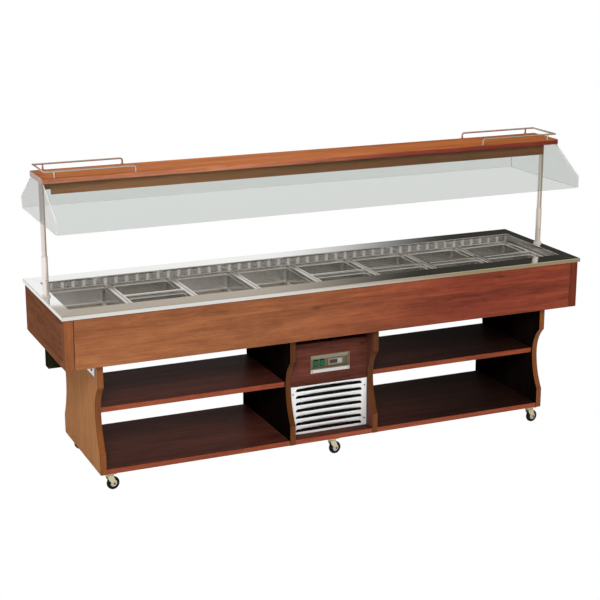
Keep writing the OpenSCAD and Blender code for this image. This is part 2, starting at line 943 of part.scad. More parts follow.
module fan_blade() {
    reach = fan_d / 2;
    intersection() {
        cylinder(d = fan_d, h = 2 * fan_hub_h, center = true);
        rotate([fan_blade_pitch, 0, 0])
            block([fan_hub_d / 2 - fan_blade_root, reach], [-fan_hub_d / 2, fan_hub_d / 2],
                [-fan_blade_t / 2, fan_blade_t / 2]);
    }
}

// Copper pipe along a list of points with a ball at every turn
module pipe(points) {
    for (i = [0 : len(points) - 2])
        rod(points[i], points[i + 1], pipe_d);
    for (i = [1 : len(points) - 2])
        translate(points[i]) sphere(d = pipe_d);
}

module pipework() {
    shell_top = bottom_top + compressor_h;
    side_x = condenser_w / 2 + 2 * pipe_d;
    front_y = condenser_y - tube_row;
    back_y = condenser_y + tube_row;
    low_z = condenser_z + condenser_row_pitch;
    high_z = condenser_z + condenser_rows * condenser_row_pitch;
    over_z = high_z + pipe_over;
    feed_x = pipe_hole[0] - pipe_spread;
    return_x = pipe_hole[0] + pipe_spread;
    riser_y = pipe_hole[1];
    evap_z = liner_z + evap_foot;
    discharge = [compressor_at[0] - 2 * pipe_d, compressor_at[1] - 2 * pipe_d];
    suction = [compressor_at[0] + 2 * pipe_d, compressor_at[1] + 2 * pipe_d];
    color("chocolate") {
        pipe([[discharge[0], discharge[1], shell_top], [discharge[0], discharge[1], over_z],
            [-side_x, discharge[1], over_z], [-side_x, front_y, over_z],
            [-side_x, front_y, high_z], [-side_x + pipe_d, front_y, high_z]]);
        pipe([[-side_x + pipe_d, back_y, low_z], [-side_x, back_y, low_z],
            [-side_x, riser_y, low_z], [-side_x, riser_y, unit_panel_top],
            [feed_x, riser_y, unit_panel_top], [feed_x, riser_y, evap_z]]);
        pipe([[suction[0], suction[1], shell_top], [suction[0], suction[1], over_z],
            [return_x, suction[1], over_z], [return_x, riser_y, over_z],
            [return_x, riser_y, evap_z]]);
    }
}

module mains_inlet() {
    color("black")
        difference() {
            union() {
                inlet_bore(inlet_d - 2 * fit);
                translate([inlet_x, unit_face + inlet_l, control_z])
                    rotate([90, 0, 0])
                        cylinder(d = inlet_d + inlet_flange, h = inlet_l, $fn = hex_sides);
            }
            translate([inlet_x, unit_face + inlet_l + through, control_z])
                rotate([90, 0, 0])
                    cylinder(d = inlet_d / 2, h = inlet_l + unit_panel_t + 3 * through);
        }
}

module lamp_gear_box() {
    color("black")
        translate([-tank_l / 2 + gear_gap, gear_y, tank_z - gear_h])
            cube([gear_l, gear_w, gear_h]);
}

// ---- Canopy ----

module post_sleeves() {
    plug_z = sleeve_top - sleeve_plug;
    color("silver")
        both_ends()
            translate([post_x, 0, 0])
                difference() {
                    union() {
                        translate([0, 0, rim_top]) cylinder(d = flange_d, h = flange_h);
                        translate([0, 0, rim_top]) cylinder(d = sleeve_d, h = sleeve_top - rim_top);
                    }
                    translate([0, 0, plug_z])
                        cylinder(d = tube_d + 2 * fit, h = sleeve_plug + through);
                }
}

module post_tubes() {
    tube_z = sleeve_top - sleeve_plug;
    color("silver")
        both_ends()
            translate([post_x, 0, tube_z])
                difference() {
                    cylinder(d = tube_d, h = top_z - tube_z);
                    translate([0, 0, -through])
                        cylinder(d = tube_d - 2 * tube_wall, h = top_z - tube_z + 2 * through);
                }
}

// Section of the front glass: slanted pane let into the overshelf, fold and
// vertical band
module glass_section() {
    y_up = glass_top_y - groove_h * glass_slope;
    in_low = glass_low_y - glass_t;
    polygon([[-y_up, top_z + groove_h], [-glass_low_y, fold_z],
        [-glass_low_y, fold_z - glass_band], [-in_low, fold_z - glass_band],
        [-in_low, fold_z - (glass_across - glass_t) / glass_slope],
        [-y_up + glass_across, top_z + groove_h]]);
}

module glass_sides() {
    color("lightgreen")
        both_sides()
            translate([-glass_l / 2, 0, 0])
                rotate([90, 0, 90])
                    linear_extrude(glass_l) glass_section();
}

module glass_ends() {
    in_low = glass_low_y - glass_t;
    in_top = glass_top_y - glass_across;
    in_fold = fold_z - (glass_across - glass_t) / glass_slope;
    low = fold_z - glass_band;
    color("lightgreen")
        both_ends()
            translate([end_glass_x, 0, 0])
                rotate([90, 0, 90])
                    linear_extrude(glass_t)
                        polygon([[-in_top, top_z], [-in_low, in_fold], [-in_low, low],
                            [in_low, low], [in_low, in_fold], [in_top, top_z]]);
}

module overshelf_board() {
    color("chocolate")
        difference() {
            translate([-top_l / 2, 0, top_z + top_t / 2])
                rotate([90, 0, 90])
                    linear_extrude(top_l) round_rect(top_w, top_t, top_round);
            both_sides()
                translate([-glass_l / 2, 0, 0])
                    rotate([90, 0, 90])
                        linear_extrude(glass_l) glass_section();
        }
}

module fascias() {
    color("rosybrown")
        both_sides()
            block([-fascia_l / 2, fascia_l / 2], [fascia_w / 2 - fascia_t, fascia_w / 2],
                [top_z - fascia_h, top_z]);
}

module lamp_fittings() {
    lamp_z = top_z - lamp_drop;
    color("white")
        both_ends() {
            block([lamp_gap, lamp_gap + lamp_l], [-batten_w / 2, batten_w / 2],
                [top_z - batten_h, top_z]);
            for (x = [lamp_gap, lamp_gap + lamp_l - holder_t])
                block([x, x + holder_t], [-lamp_d / 2, lamp_d / 2],
                    [lamp_z - lamp_d / 2, top_z - batten_h]);
            rod([lamp_gap + holder_t, 0, lamp_z], [lamp_gap + lamp_l - holder_t, 0, lamp_z], lamp_d);
        }
}

module gallery_rails() {
    board_top = top_z + top_t;
    z = board_top + rail_h;
    color("silver")
        both_ends() {
            both_sides() {
                rod([rail_in + elbow_r, rail_y, z], [rail_out, rail_y, z], rod_d);
                translate([rail_out, rail_y, z]) sphere(d = rod_d);
                rod([rail_foot_x, rail_y, board_top], [rail_foot_x, rail_y, z], rod_d);
                rod([rail_in, rail_y, board_top], [rail_in, rail_y, z - elbow_r], rod_d);
                translate([rail_in + elbow_r, rail_y, z - elbow_r])
                    rotate([90, 0, 0])
                        rotate([0, 0, 90])
                            rotate_extrude(angle = 90)
                                translate([elbow_r, 0]) circle(d = rod_d);
                for (x = [rail_in, rail_foot_x])
                    translate([x, rail_y, board_top]) cylinder(d = foot_d, h = rail_foot_h);
            }
            rod([rail_out, -rail_y, z], [rail_out, rail_y, z], rod_d);
        }
}

// ---- Pans ----

// A pan of width w and depth d with its flange centred on the origin
module pan(w, d) {
    body_w = w - 2 * pan_flange;
    body_d = d - 2 * pan_flange;
    color("lightgray")
        difference() {
            union() {
                translate([0, 0, -pan_sheet])
                    linear_extrude(pan_sheet) round_rect(w, d, pan_corner / 2);
                translate([0, 0, -pan_h])
                    linear_extrude(pan_h) round_rect(body_w, body_d, pan_corner);
            }
            translate([0, 0, -pan_h + pan_sheet])
                linear_extrude(pan_h)
                    round_rect(body_w - 2 * pan_sheet, body_d - 2 * pan_sheet,
                        pan_corner - pan_sheet);
        }
}

module whole_pan(place) {
    translate([-well_l / 2 + (place - 0.5) * pan_pitch, 0, flange_z]) pan(pan_w, pan_d);
}

// side is -1 for the front pan of a split place and 1 for the back pan
module half_pan(place, side) {
    half_d = (pan_d - pan_split_gap) / 2;
    translate([-well_l / 2 + (place - 0.5) * pan_pitch, side * (half_d + pan_split_gap) / 2,
        flange_z])
        pan(pan_w, half_d);
}

// ---- Castors ----

module castor_plates() {
    color("goldenrod")
        for (place = castor_places)
            translate([place[0], place[1], 0])
                difference() {
                    union() {
                        block([-plate_s / 2, plate_s / 2], [-plate_s / 2, plate_s / 2],
                            [base_z - plate_t, base_z]);
                        translate([0, 0, base_z - plate_t - race_h])
                            cylinder(d = race_d, h = race_h);
                    }
                    translate([0, 0, base_z - plate_t - race_h - through])
                        cylinder(d = pin_d + 2 * fit, h = race_h + plate_t / 2 + through);
                }
}

// A fork with its swivel pin and axle, trailing along its own +X
module castor_fork(i) {
    cheek_y = wheel_w / 2 + fork_gap;
    top = base_z - plate_t - race_h - race_gap;
    color("darkkhaki")
        translate([castor_places[i][0], castor_places[i][1], 0])
            rotate([0, 0, trail_angle]) {
                translate([0, 0, top - fork_t]) {
                    cylinder(d = race_d, h = fork_t);
                    cylinder(d = pin_d, h = fork_t + race_gap + race_h);
                }
                for (side = [0, 1])
                    mirror([0, side, 0])
                        translate([0, cheek_y + fork_t, 0])
                            rotate([90, 0, 0])
                                linear_extrude(fork_t) fork_outline(top);
                rod([trail, -cheek_y - fork_t, axle_z], [trail, cheek_y + fork_t, axle_z], axle_d);
            }
}

module fork_outline(top) {
    polygon([[-fork_w / 2, top], [fork_w / 2, top], [trail + axle_d, axle_z],
        [trail - axle_d, axle_z]]);
    translate([trail, axle_z]) circle(axle_d);
}

module castor_wheel(i) {
    color("black")
        translate([castor_places[i][0], castor_places[i][1], 0])
            rotate([0, 0, trail_angle])
                translate([trail, 0, axle_z])
                    rotate([90, 0, 0])
                        difference() {
                            union() {
                                cylinder(d = wheel_d, h = wheel_w, center = true);
                                cylinder(d = hub_d, h = hub_w, center = true);
                            }
                            cylinder(d = axle_d + 2 * fit, h = 2 * hub_w, center = true);
                        }
}

worktop_rim();
tank_body();
well_liner();
air_walls();
pan_bars();
evaporator();
drain_pipe();
aprons();
corner_posts();
support_angles();
end_panels();
dividers();
shelves();
unit_panels();
louvre_grilles();
control_plate();
thermostat();
rocker(0);  // rocker_left
rocker(1);  // rocker_right
compressor();
condenser();
fan_motor();
fan_blades();
pipework();
mains_inlet();
lamp_gear_box();
post_sleeves();
post_tubes();
overshelf_board();
fascias();
lamp_fittings();
glass_sides();
glass_ends();
gallery_rails();
castor_plates();
whole_pan(1);  // pan_1
half_pan(2, 1);  // pan_2_back
half_pan(2, -1);  // pan_2_front
whole_pan(3);  // pan_3
whole_pan(4);  // pan_4
half_pan(5, 1);  // pan_5_back
half_pan(5, -1);  // pan_5_front
half_pan(6, 1);  // pan_6_back
half_pan(6, -1);  // pan_6_front
half_pan(7, 1);  // pan_7_back
half_pan(7, -1);  // pan_7_front
half_pan(8, 1);  // pan_8_back
half_pan(8, -1);  // pan_8_front
castor_fork(0);  // castor_fork_1
castor_fork(1);  // castor_fork_2
castor_fork(2);  // castor_fork_3
castor_fork(3);  // castor_fork_4
castor_fork(4);  // castor_fork_5
castor_fork(5);  // castor_fork_6
castor_wheel(0);  // castor_wheel_1
castor_wheel(1);  // castor_wheel_2
castor_wheel(2);  // castor_wheel_3
castor_wheel(3);  // castor_wheel_4
castor_wheel(4);  // castor_wheel_5
castor_wheel(5);  // castor_wheel_6
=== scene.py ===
"""Looks of the mobile salad bar: studio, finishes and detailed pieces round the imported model."""

import math

import bmesh
import bpy
from mathutils import Matrix, Vector


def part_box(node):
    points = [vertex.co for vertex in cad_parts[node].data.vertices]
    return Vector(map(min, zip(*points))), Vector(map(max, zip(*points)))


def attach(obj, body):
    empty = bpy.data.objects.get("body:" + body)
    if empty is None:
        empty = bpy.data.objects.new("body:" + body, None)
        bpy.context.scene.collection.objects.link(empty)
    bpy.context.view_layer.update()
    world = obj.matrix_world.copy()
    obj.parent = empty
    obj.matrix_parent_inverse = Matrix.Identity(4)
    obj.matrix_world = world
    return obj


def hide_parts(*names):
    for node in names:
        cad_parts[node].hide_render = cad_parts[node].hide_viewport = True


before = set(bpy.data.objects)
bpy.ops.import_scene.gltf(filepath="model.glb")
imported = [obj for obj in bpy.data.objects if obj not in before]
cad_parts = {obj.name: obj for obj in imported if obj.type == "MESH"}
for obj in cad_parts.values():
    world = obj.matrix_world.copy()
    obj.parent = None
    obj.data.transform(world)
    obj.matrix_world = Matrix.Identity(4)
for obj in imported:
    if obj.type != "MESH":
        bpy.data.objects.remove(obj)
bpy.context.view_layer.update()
scene = bpy.context.scene
scene.view_settings.view_transform = "Standard"
SIDES = (-1, 1)
CORNERS = [(sx, sy) for sx in SIDES for sy in SIDES]
ALONG_Y = (0, 1, 0)


# ---- Camera ----
# Stands to the left of the counter at about eye height above it and looks slightly down,
# as the photographer did.
LOOK_DOWN, LOOK_RIGHT = 15.56, 23.63
lens = bpy.data.cameras.new("camera")
lens.sensor_width = 36
lens.lens = 89.0
lens.clip_end = 200
camera = bpy.data.objects.new("camera", lens)
camera.location = (-3.0049, -6.7538, 2.8025)
camera.rotation_euler = (math.radians(90 - LOOK_DOWN), 0, math.radians(-LOOK_RIGHT))
scene.collection.objects.link(camera)
scene.camera = camera


# ---- Studio ----
# White floor and air for the camera, as in a cut-out picture. Mirror rays see a white wall
# over a dark skirting, a warm ceiling, and a dark flag behind the right-hand end.
class Value:
    """One output of a node. Python's operators on it add Math nodes."""

    def __init__(self, owner, socket):
        self.owner, self.socket = owner, socket

    def maths(self, operation, *others):
        inputs = dict(enumerate((self, *others)))
        return self.owner.node("ShaderNodeMath", inputs, operation=operation)

    def __add__(self, other):
        return self.maths("ADD", other)

    def __sub__(self, other):
        return self.maths("SUBTRACT", other)

    def __rsub__(self, other):
        return self.owner.node("ShaderNodeMath", {0: other, 1: self}, operation="SUBTRACT")

    def __mul__(self, other):
        return self.maths("MULTIPLY", other)

    def __gt__(self, other):
        return self.maths("GREATER_THAN", other)

    def __lt__(self, other):
        return self.maths("LESS_THAN", other)

    def __abs__(self):
        return self.maths("ABSOLUTE")

    def rise(self, low, high):
        """0 below low, 1 above high, smooth between."""
        inputs = {0: self, 1: low, 2: high}
        return self.owner.node("ShaderNodeMapRange", inputs, interpolation_type="SMOOTHSTEP")

    __radd__ = __add__
    __rmul__ = __mul__


class Tree:
    """A node tree that grows by one call for each node."""

    def __init__(self, tree):
        self.tree = tree

    def node(self, kind, inputs=None, output=0, **settings):
        made = self.tree.nodes.new(kind)
        for name, value in settings.items():
            setattr(made, name, value)
        for key, value in (inputs or {}).items():
            if isinstance(value, Value):
                self.tree.links.new(value.socket, made.inputs[key])
            else:
                made.inputs[key].default_value = value
        return Value(self, made.outputs[output]) if made.outputs else None

    def place(self, output=3):
        """X, Y and Z of a texture coordinate: the object's own, or another output."""
        here = self.node("ShaderNodeTexCoord", output=output)
        return [self.node("ShaderNodeSeparateXYZ", {0: here}, axis) for axis in range(3)]

    def mix(self, mask, first, second):
        """Two colours blended by a mask."""
        pair = {6: first, 7: second}
        colours = {k: v if isinstance(v, Value) else (*v, 1) for k, v in pair.items()}
        return self.node("ShaderNodeMix", {0: mask, **colours}, 2, data_type="RGBA")

    def ramp(self, tone, colours, places=(0.18, 0.5, 0.86)):
        """Three colours in turn as the tone rises."""
        value = self.node("ShaderNodeValToRGB", {0: tone})
        stops = value.socket.node.color_ramp.elements
        while len(stops) < len(places):
            stops.new(1)
        for stop, place, colour in zip(stops, places, colours):
            stop.position, stop.color = place, (*colour, 1)
        return value


def empty_tree(owner):
    owner.use_nodes = True
    owner.node_tree.nodes.clear()
    return Tree(owner.node_tree)


def ray_masks(tree):
    """Whether the camera sent a ray, straight or through glass, and whether a mirror did."""
    sight, mirror, through = (tree.node("ShaderNodeLightPath", output=i) for i in (0, 3, 6))
    return (sight + through).maths("MINIMUM", 1.0), mirror


WHITE = (1.0, 1.0, 1.0)
AIR_LIGHT = (0.13, 0.13, 0.13)
FLOOR_HALF, FLOOR_Z = 40, -0.0004
floor_corners = [(x * FLOOR_HALF, y * FLOOR_HALF, FLOOR_Z)
                 for x, y in ((-1, -1), (1, -1), (1, 1), (-1, 1))]
floor_mesh = bpy.data.meshes.new("floor")
floor_mesh.from_pydata(floor_corners, [], [(0, 1, 2, 3)])
floor = bpy.data.objects.new("floor", floor_mesh)
scene.collection.objects.link(floor)
floor_paint = bpy.data.materials.new("floor_paint")
floor_mesh.materials.append(floor_paint)
paint = empty_tree(floor_paint)
seen, from_mirror = ray_masks(paint)
# as mirrors see it, the floor turns brown toward the right: a painted reflection that darkens the
# steel's right-hand end
to_right = paint.place()[0].rise(0.6, 2.6)
warm = paint.mix(to_right, (0.98, 0.96, 0.93), (0.42, 0.31, 0.17))
in_mirror = paint.node("ShaderNodeEmission", {0: warm})
in_sight = paint.node("ShaderNodeEmission", {0: (*WHITE, 1)})
own = paint.node("ShaderNodeBsdfDiffuse", {0: (0.93, 0.93, 0.93, 1)})
plain = paint.node("ShaderNodeMixShader", {0: seen, 1: own, 2: in_sight})
whole = paint.node("ShaderNodeMixShader", {0: from_mirror, 1: plain, 2: in_mirror})
paint.node("ShaderNodeOutputMaterial", {0: whole})

world = bpy.data.worlds.new("studio_air")
scene.world = world
air = empty_tree(world)
seen, from_mirror = ray_masks(air)
way_x, way_y, way_z = air.place(0)
flag = way_x.maths("DIVIDE", way_y).rise(0.4, 0.57) * (1 - way_z.rise(0.5, 0.75))
flag = flag * way_y.rise(0.0, 0.2)
skirting = way_z.rise(0.0, 0.03) * (1 - way_z.rise(0.13, 0.17))
mirrored = air.mix(way_z.rise(0.278, 0.3), (1.1, 1.1, 1.1), (0.56, 0.5, 0.42))
mirrored = air.mix(skirting, mirrored, (0.12, 0.11, 0.1))
mirrored = air.mix(flag, mirrored, (0.045, 0.043, 0.036))
colour = air.mix(from_mirror, air.mix(seen, AIR_LIGHT, WHITE), mirrored)
air.node("ShaderNodeOutputWorld", {0: air.node("ShaderNodeBackground", {0: colour})})


def soft_box(name, place, aim, size, power):
    """A round area light that mirrors don't show."""
    light = bpy.data.lights.new(name, "AREA")
    light.shape, light.size, light.energy = "DISK", size, power
    lamp = bpy.data.objects.new(name, light)
    lamp.visible_glossy = False
    lamp.location = place
    lamp.rotation_euler = (Vector(aim) - Vector(place)).to_track_quat("-Z", "Y").to_euler()
    scene.collection.objects.link(lamp)


soft_box("key_light", (-2.9, -5.6, 4.4), (0, 0, 0.8), 2.4, 370)
soft_box("fill_light", (3.6, -5.0, 3.0), (0.3, 0, 0.8), 2.6, 120)
soft_box("top_light", (-0.4, 0.6, 5.6), (0, 0, 1.0), 2.6, 150)


# ---- Worktop ----
# Stainless sheet folded down round the outside and round the well, with mitred welds at the
# corners. It sits on the tank and laps over the wooden aprons.
class Finish(Tree):
    """A procedural material built round its Principled shader."""

    def __init__(self, name, **plain):
        self.material = bpy.data.materials.new(name)
        self.material.use_nodes = True
        super().__init__(self.material.node_tree)
        self.shader = self.tree.nodes["Principled BSDF"]
        for socket, value in plain.items():
            self.shader.inputs[socket.replace("_", " ")].default_value = value

    def feed(self, socket, value):
        self.tree.links.new(value.socket, self.shader.inputs[socket])
        return self

    def cloud(self, x, y, z, detail=3.0, distortion=0.0):
        """Noise at a point given in the pattern's own steps."""
        at = self.node("ShaderNodeCombineXYZ", {0: x, 1: y, 2: z})
        return self.node("ShaderNodeTexNoise", {"Vector": at, "Scale": 1.0, "Detail": detail,
                                                "Distortion": distortion})

    def relief(self, height, depth, strength=1.0):
        """A bump from a height given in units of depth, in metres."""
        return self.feed("Normal", self.node("ShaderNodeBump", {
            "Strength": strength, "Distance": depth, "Height": height}))


def darker(colour, share=0.4):
    return tuple(c * share for c in colour)


def steel(name, dark, light, rough, spread=0.08, metallic=1.0, upright=False, across=None,
          weld=None, fall=None):
    """Brushed stainless. Masks say where the brushing turns to Y, a weld runs or it falls. Where
    the brushing turns it is painted a little lighter, a painted sheen.
    """
    metal = Finish(name, Metallic=metallic)
    x, y, z = metal.place()
    if upright:
        x, z = z, x
    run, side, tone = x, y, 0.0
    if across:
        turned = across(x, y)
        # where the brushing turns, the colour is lifted a little: a painted sheen
        run, side, tone = x + (y - x) * turned, y + (x - y) * turned, turned * 0.12
    lines = metal.cloud(run * 2.5, side * 420, z * 420, 2.0)
    smears = metal.cloud(run * 1.6, side * 6, z * 6, 4.0, 0.4)
    colour = metal.mix(lines * 0.5 + smears * 0.5 + tone, dark, light)
    height = lines
    if weld:
        seam = weld(x, y)
        colour = metal.mix(seam * 0.6, colour, darker(dark))
        height = lines - seam * 2.0
    if fall:
        height = height + fall(x, y)
    metal.feed("Base Color", colour)
    metal.feed("Roughness", (lines - 0.5) * spread + (smears - 0.5) * spread + rough)
    return metal.relief(height, 0.00004, 0.3)


def rounded(half_l, half_w, corner, z, steps=5, centre=(0, 0)):
    """A ring of points round a rectangle with round corners, anticlockwise from above."""
    ring = []
    for quarter, (sx, sy) in enumerate(((1, 1), (-1, 1), (-1, -1), (1, -1))):
        for step in range(steps + 1):
            turn = math.radians(90 * (quarter + step / steps))
            ring.append(Vector((centre[0] + sx * (half_l - corner) + corner * math.cos(turn),
                                centre[1] + sy * (half_w - corner) + corner * math.sin(turn), z)))
    return ring


def arc(centre, radius, start, end, steps=4):
    """Points (across, up) on an arc, with its angles in degrees."""
    turns = (math.radians(start + (end - start) * i / steps) for i in range(steps + 1))
    return [(centre[0] + radius * math.cos(t), centre[1] + radius * math.sin(t)) for t in turns]


def round_turns(count):
    """Angles that divide a full turn evenly."""
    return [math.tau * i / count for i in range(count)]


def smooth(mesh, crease=35):
    mesh.shade_smooth()
    mesh.set_sharp_from_angle(angle=math.radians(crease))


def settle(made):
    """Gives an object the mesh that its modifiers make, and takes them off."""
    seen_now = made.evaluated_get(bpy.context.evaluated_depsgraph_get())
    made.data = bpy.data.meshes.new_from_object(seen_now)
    made.modifiers.clear()


def join_frame(made, body, stands_for=None):
    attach(made, body)
    if stands_for:
        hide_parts(stands_for)
    return made


class Form:
    """A mesh in the making. Each call adds one shape to it, in the finish set last."""

    def __init__(self):
        self.mesh = bmesh.new()
        self.finish = 0

    def paint(self, number):
        self.finish = number
        return self

    def loft(self, rings, loop=False):
        """A closed shape through rings of points, with end caps or closed on itself."""
        rows = [[self.mesh.verts.new(point) for point in ring] for ring in rings]
        pairs = list(zip(rows, rows[1:])) + ([(rows[-1], rows[0])] if loop else [])
        faces = [self.mesh.faces.new((low[i - 1], low[i], high[i], high[i - 1]))
                 for low, high in pairs for i in range(len(low))]
        if not loop:
            faces += [self.mesh.faces.new(rows[0][::-1]), self.mesh.faces.new(rows[-1])]
        for face in faces:
            face.material_index = self.finish
        return self

    def block(self, low, high, ease=0.0, steps=2):
        low, high = Vector(low), Vector(high)
        stretch = Matrix.Translation((low + high) / 2) @ Matrix.Diagonal((*(high - low), 1))
        made = bmesh.ops.create_cube(self.mesh, size=1.0, matrix=stretch)
        for face in {face for vert in made["verts"] for face in vert.link_faces}:
            face.material_index = self.finish
        if ease:
            edges = list(dict.fromkeys(e for vert in made["verts"] for e in vert.link_edges))
            bmesh.ops.bevel(self.mesh, geom=edges, offset=ease, segments=steps, profile=0.5,
                            affect="EDGES", material=-1)
        return self

    def turned(self, profile, base, along=(0, 0, 1), sides=32, bored=False):
        """A profile of (radius, distance) pairs spun round an axis, closed on itself if bored."""
        lay = Vector(along).normalized().to_track_quat("Z", "Y").to_matrix()
        return self.loft([[Vector(base) + lay @ Vector((r * math.cos(t), r * math.sin(t), h))
                           for t in round_turns(sides)] for r, h in profile], loop=bored)

    def tube(self, path, radius, sides=12):
        """A round bar swept along a path without twist."""
        path = [Vector(point) for point in path]
        ways = [(b - a).normalized() for a, b in zip(path, path[1:])]
        side = ways[0].orthogonal().normalized()
        rings = []
        for point, way, onward in zip(path, [ways[0]] + ways, ways + [ways[-1]]):
            side = (side - way * side.dot(way)).normalized()
            other, mitre = way.cross(side), (way + onward).normalized()
            around = [math.cos(t) * side + math.sin(t) * other for t in round_turns(sides)]
            rings.append([point + radius * (a - way * a.dot(mitre) / way.dot(mitre))
                          for a in around])
        return self.loft(rings)

    def sheet(self, rows):
        """An open sheet through rows of points."""
        grid = [[self.mesh.verts.new(point) for point in row] for row in rows]
        for low, high in zip(grid, grid[1:]):
            for corners in zip(low, low[1:], high[1:], high):
                self.mesh.faces.new(corners)
        return self

    def thicken(self, shift):
        """Joins the open sheets and closes them with a second skin, which shift() moves off."""
        bmesh.ops.remove_doubles(self.mesh, verts=self.mesh.verts, dist=0.00001)
        bmesh.ops.recalc_face_normals(self.mesh, faces=self.mesh.faces)
        skin = bmesh.ops.extrude_face_region(self.mesh, geom=list(self.mesh.faces))
        for vert in (g for g in skin["geom"] if isinstance(g, bmesh.types.BMVert)):
            shift(vert.co)
        return self

    def move(self, matrix):
        bmesh.ops.transform(self.mesh, matrix=matrix, verts=self.mesh.verts)
        return self

    def close(self, name):
        """The finished mesh, with its faces outward."""
        bmesh.ops.recalc_face_normals(self.mesh, faces=self.mesh.faces)
        mesh = bpy.data.meshes.new(name)
        self.mesh.to_mesh(mesh)
        self.mesh.free()
        return mesh

    def piece(self, name, finishes, body="base", slot=None, stands_for=None, crease=35):
        """Closes the mesh and hands it to the frame as one piece."""
        mesh = self.close(name)
        for finish in finishes if isinstance(finishes, list) else [finishes]:
            mesh.materials.append(finish.material)
        smooth(mesh, crease)
        made = bpy.data.objects.new(name, mesh)
        scene.collection.objects.link(made)
        made.modifiers.new("weigh", "WEIGHTED_NORMAL").keep_sharp = True
        settle(made)
        bpy.data.meshes.remove(mesh)
        return join_frame(made, body, stands_for)


rim_low, rim_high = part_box("worktop_rim")
WELL_HALF = (1.338, 0.267)
RIM_SHEET, RIM_CORNER = 0.003, 0.0015
corner_step = rim_high.x - rim_high.y


def past_mitre(x, y):
    """Above 0 on the end strips, below it on the long ones."""
    return abs(x) - abs(y) - corner_step


def rim_fall(x, y):
    """Slight falls of the sheet: its front strip to the front, its ends to the front corners."""
    front = y * (y < -0.25) * (past_mitre(x, y) < 0) * 5200
    return front - (y + 0.12) * (y + 0.12) * (y < -0.12) * (past_mitre(x, y) > 0) * 8000


rim_steel = steel("rim_steel", (0.64, 0.64, 0.63), (0.8, 0.8, 0.79), 0.07, spread=0.04,
                  across=lambda x, y: past_mitre(x, y) > 0, fall=rim_fall,
                  weld=lambda x, y: 1 - abs(past_mitre(x, y)).rise(0.0005, 0.0014))
# up the skirt, over the edge to the well, down its lip and back under the sheet
under_z = rim_high.z - RIM_SHEET
skirt = [(0.0003, rim_low.z), (0, rim_low.z + 0.0006)]
skirt += arc((RIM_SHEET, under_z), RIM_SHEET, 180, 90)
lip = [(0.002, 0), (0.0006, -0.0006), (0, -0.002), (0, -0.0078), (0.0015, -0.008),
       (RIM_SHEET, -0.0076), (RIM_SHEET, -RIM_SHEET)]
steps = [(rim_high.x - inset, rim_high.y - inset, z) for inset, z in skirt]
steps += [(WELL_HALF[0] + out, WELL_HALF[1] + out, rim_high.z + z) for out, z in lip]
steps += [(rim_high.x - RIM_SHEET, rim_high.y - RIM_SHEET, z) for z in (under_z, rim_low.z)]
sheet = Form().loft([rounded(l, w, RIM_CORNER, z, 1) for l, w, z in steps], loop=True)
sheet.piece("worktop_sheet", rim_steel, slot="rim_steel", stands_for="worktop_rim")


# ---- Tank and well ----
# Foamed tank in a galvanised skin with a satin stainless liner. Cold air comes through two
# slotted walls, and folded bars carry the pans.
def dress(node, finish):
    """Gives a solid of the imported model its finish."""
    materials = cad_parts[node].data.materials
    materials.clear()
    materials.append(finish.material)


def eased(node, finishes, radius=0.0012, body="base", slot=None, choose=None, steps=2):
    """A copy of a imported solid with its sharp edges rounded, which stands for it.

    choose(normal, middle) gives the number of a face's finish.
    """
    form = Form()
    mesh = form.mesh
    mesh.from_mesh(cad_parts[node].data)
    bmesh.ops.remove_doubles(mesh, verts=mesh.verts, dist=0.00002)
    bmesh.ops.dissolve_limit(mesh, angle_limit=math.radians(0.5), verts=mesh.verts,
                             edges=mesh.edges)
    sharp = [edge for edge in mesh.edges
             if len(edge.link_faces) == 2 and edge.calc_face_angle() > math.radians(30)]
    bmesh.ops.bevel(mesh, geom=sharp, offset=radius, segments=steps, profile=0.5,
                    affect="EDGES", clamp_overlap=True)
    mesh.normal_update()
    for face in mesh.faces:
        if choose:
            face.material_index = int(choose(face.normal, face.calc_center_median()))
        else:
            face.material_index = 0
    return form.piece(node + "_eased", finishes, body=body, slot=slot, stands_for=node)


well_steel = steel("well_steel", (0.66, 0.64, 0.6), (0.84, 0.82, 0.78), 0.36)
wall_steel = steel("air_wall_steel", (0.62, 0.6, 0.56), (0.78, 0.76, 0.72), 0.42, metallic=0.5)
tank_skin = steel("tank_skin", (0.3, 0.31, 0.32), (0.42, 0.43, 0.44), 0.42)
dress("well_liner", well_steel)
dress("air_walls", wall_steel)
dress("tank_body", tank_skin)
eased("pan_bars", well_steel, 0.0004, slot="well_steel", steps=1)

drain_low, drain_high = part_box("drain_pipe")
drain_mid, drain_len = (drain_low + drain_high) / 2, drain_high.z - drain_low.z
bore, pipe_r, ring_r = 0.0105, 0.0129, drain_high.x - drain_mid.x
spout = [(bore, 0.0005), (pipe_r - 0.0009, 0), (pipe_r, 0.001), (pipe_r, 0.036),
         (ring_r - 0.001, 0.037), (ring_r, 0.039), (ring_r, 0.048), (ring_r - 0.001, 0.05),
         (pipe_r, 0.05), (pipe_r, drain_len), (bore, drain_len)]
drain_steel = steel("drain_steel", (0.4, 0.4, 0.4), (0.56, 0.56, 0.56), 0.3)
drain = Form().turned(spout, (drain_mid.x, drain_mid.y, drain_low.z), bored=True)
drain.piece("drain_spout", drain_steel, slot="drain_steel", stands_for="drain_pipe")


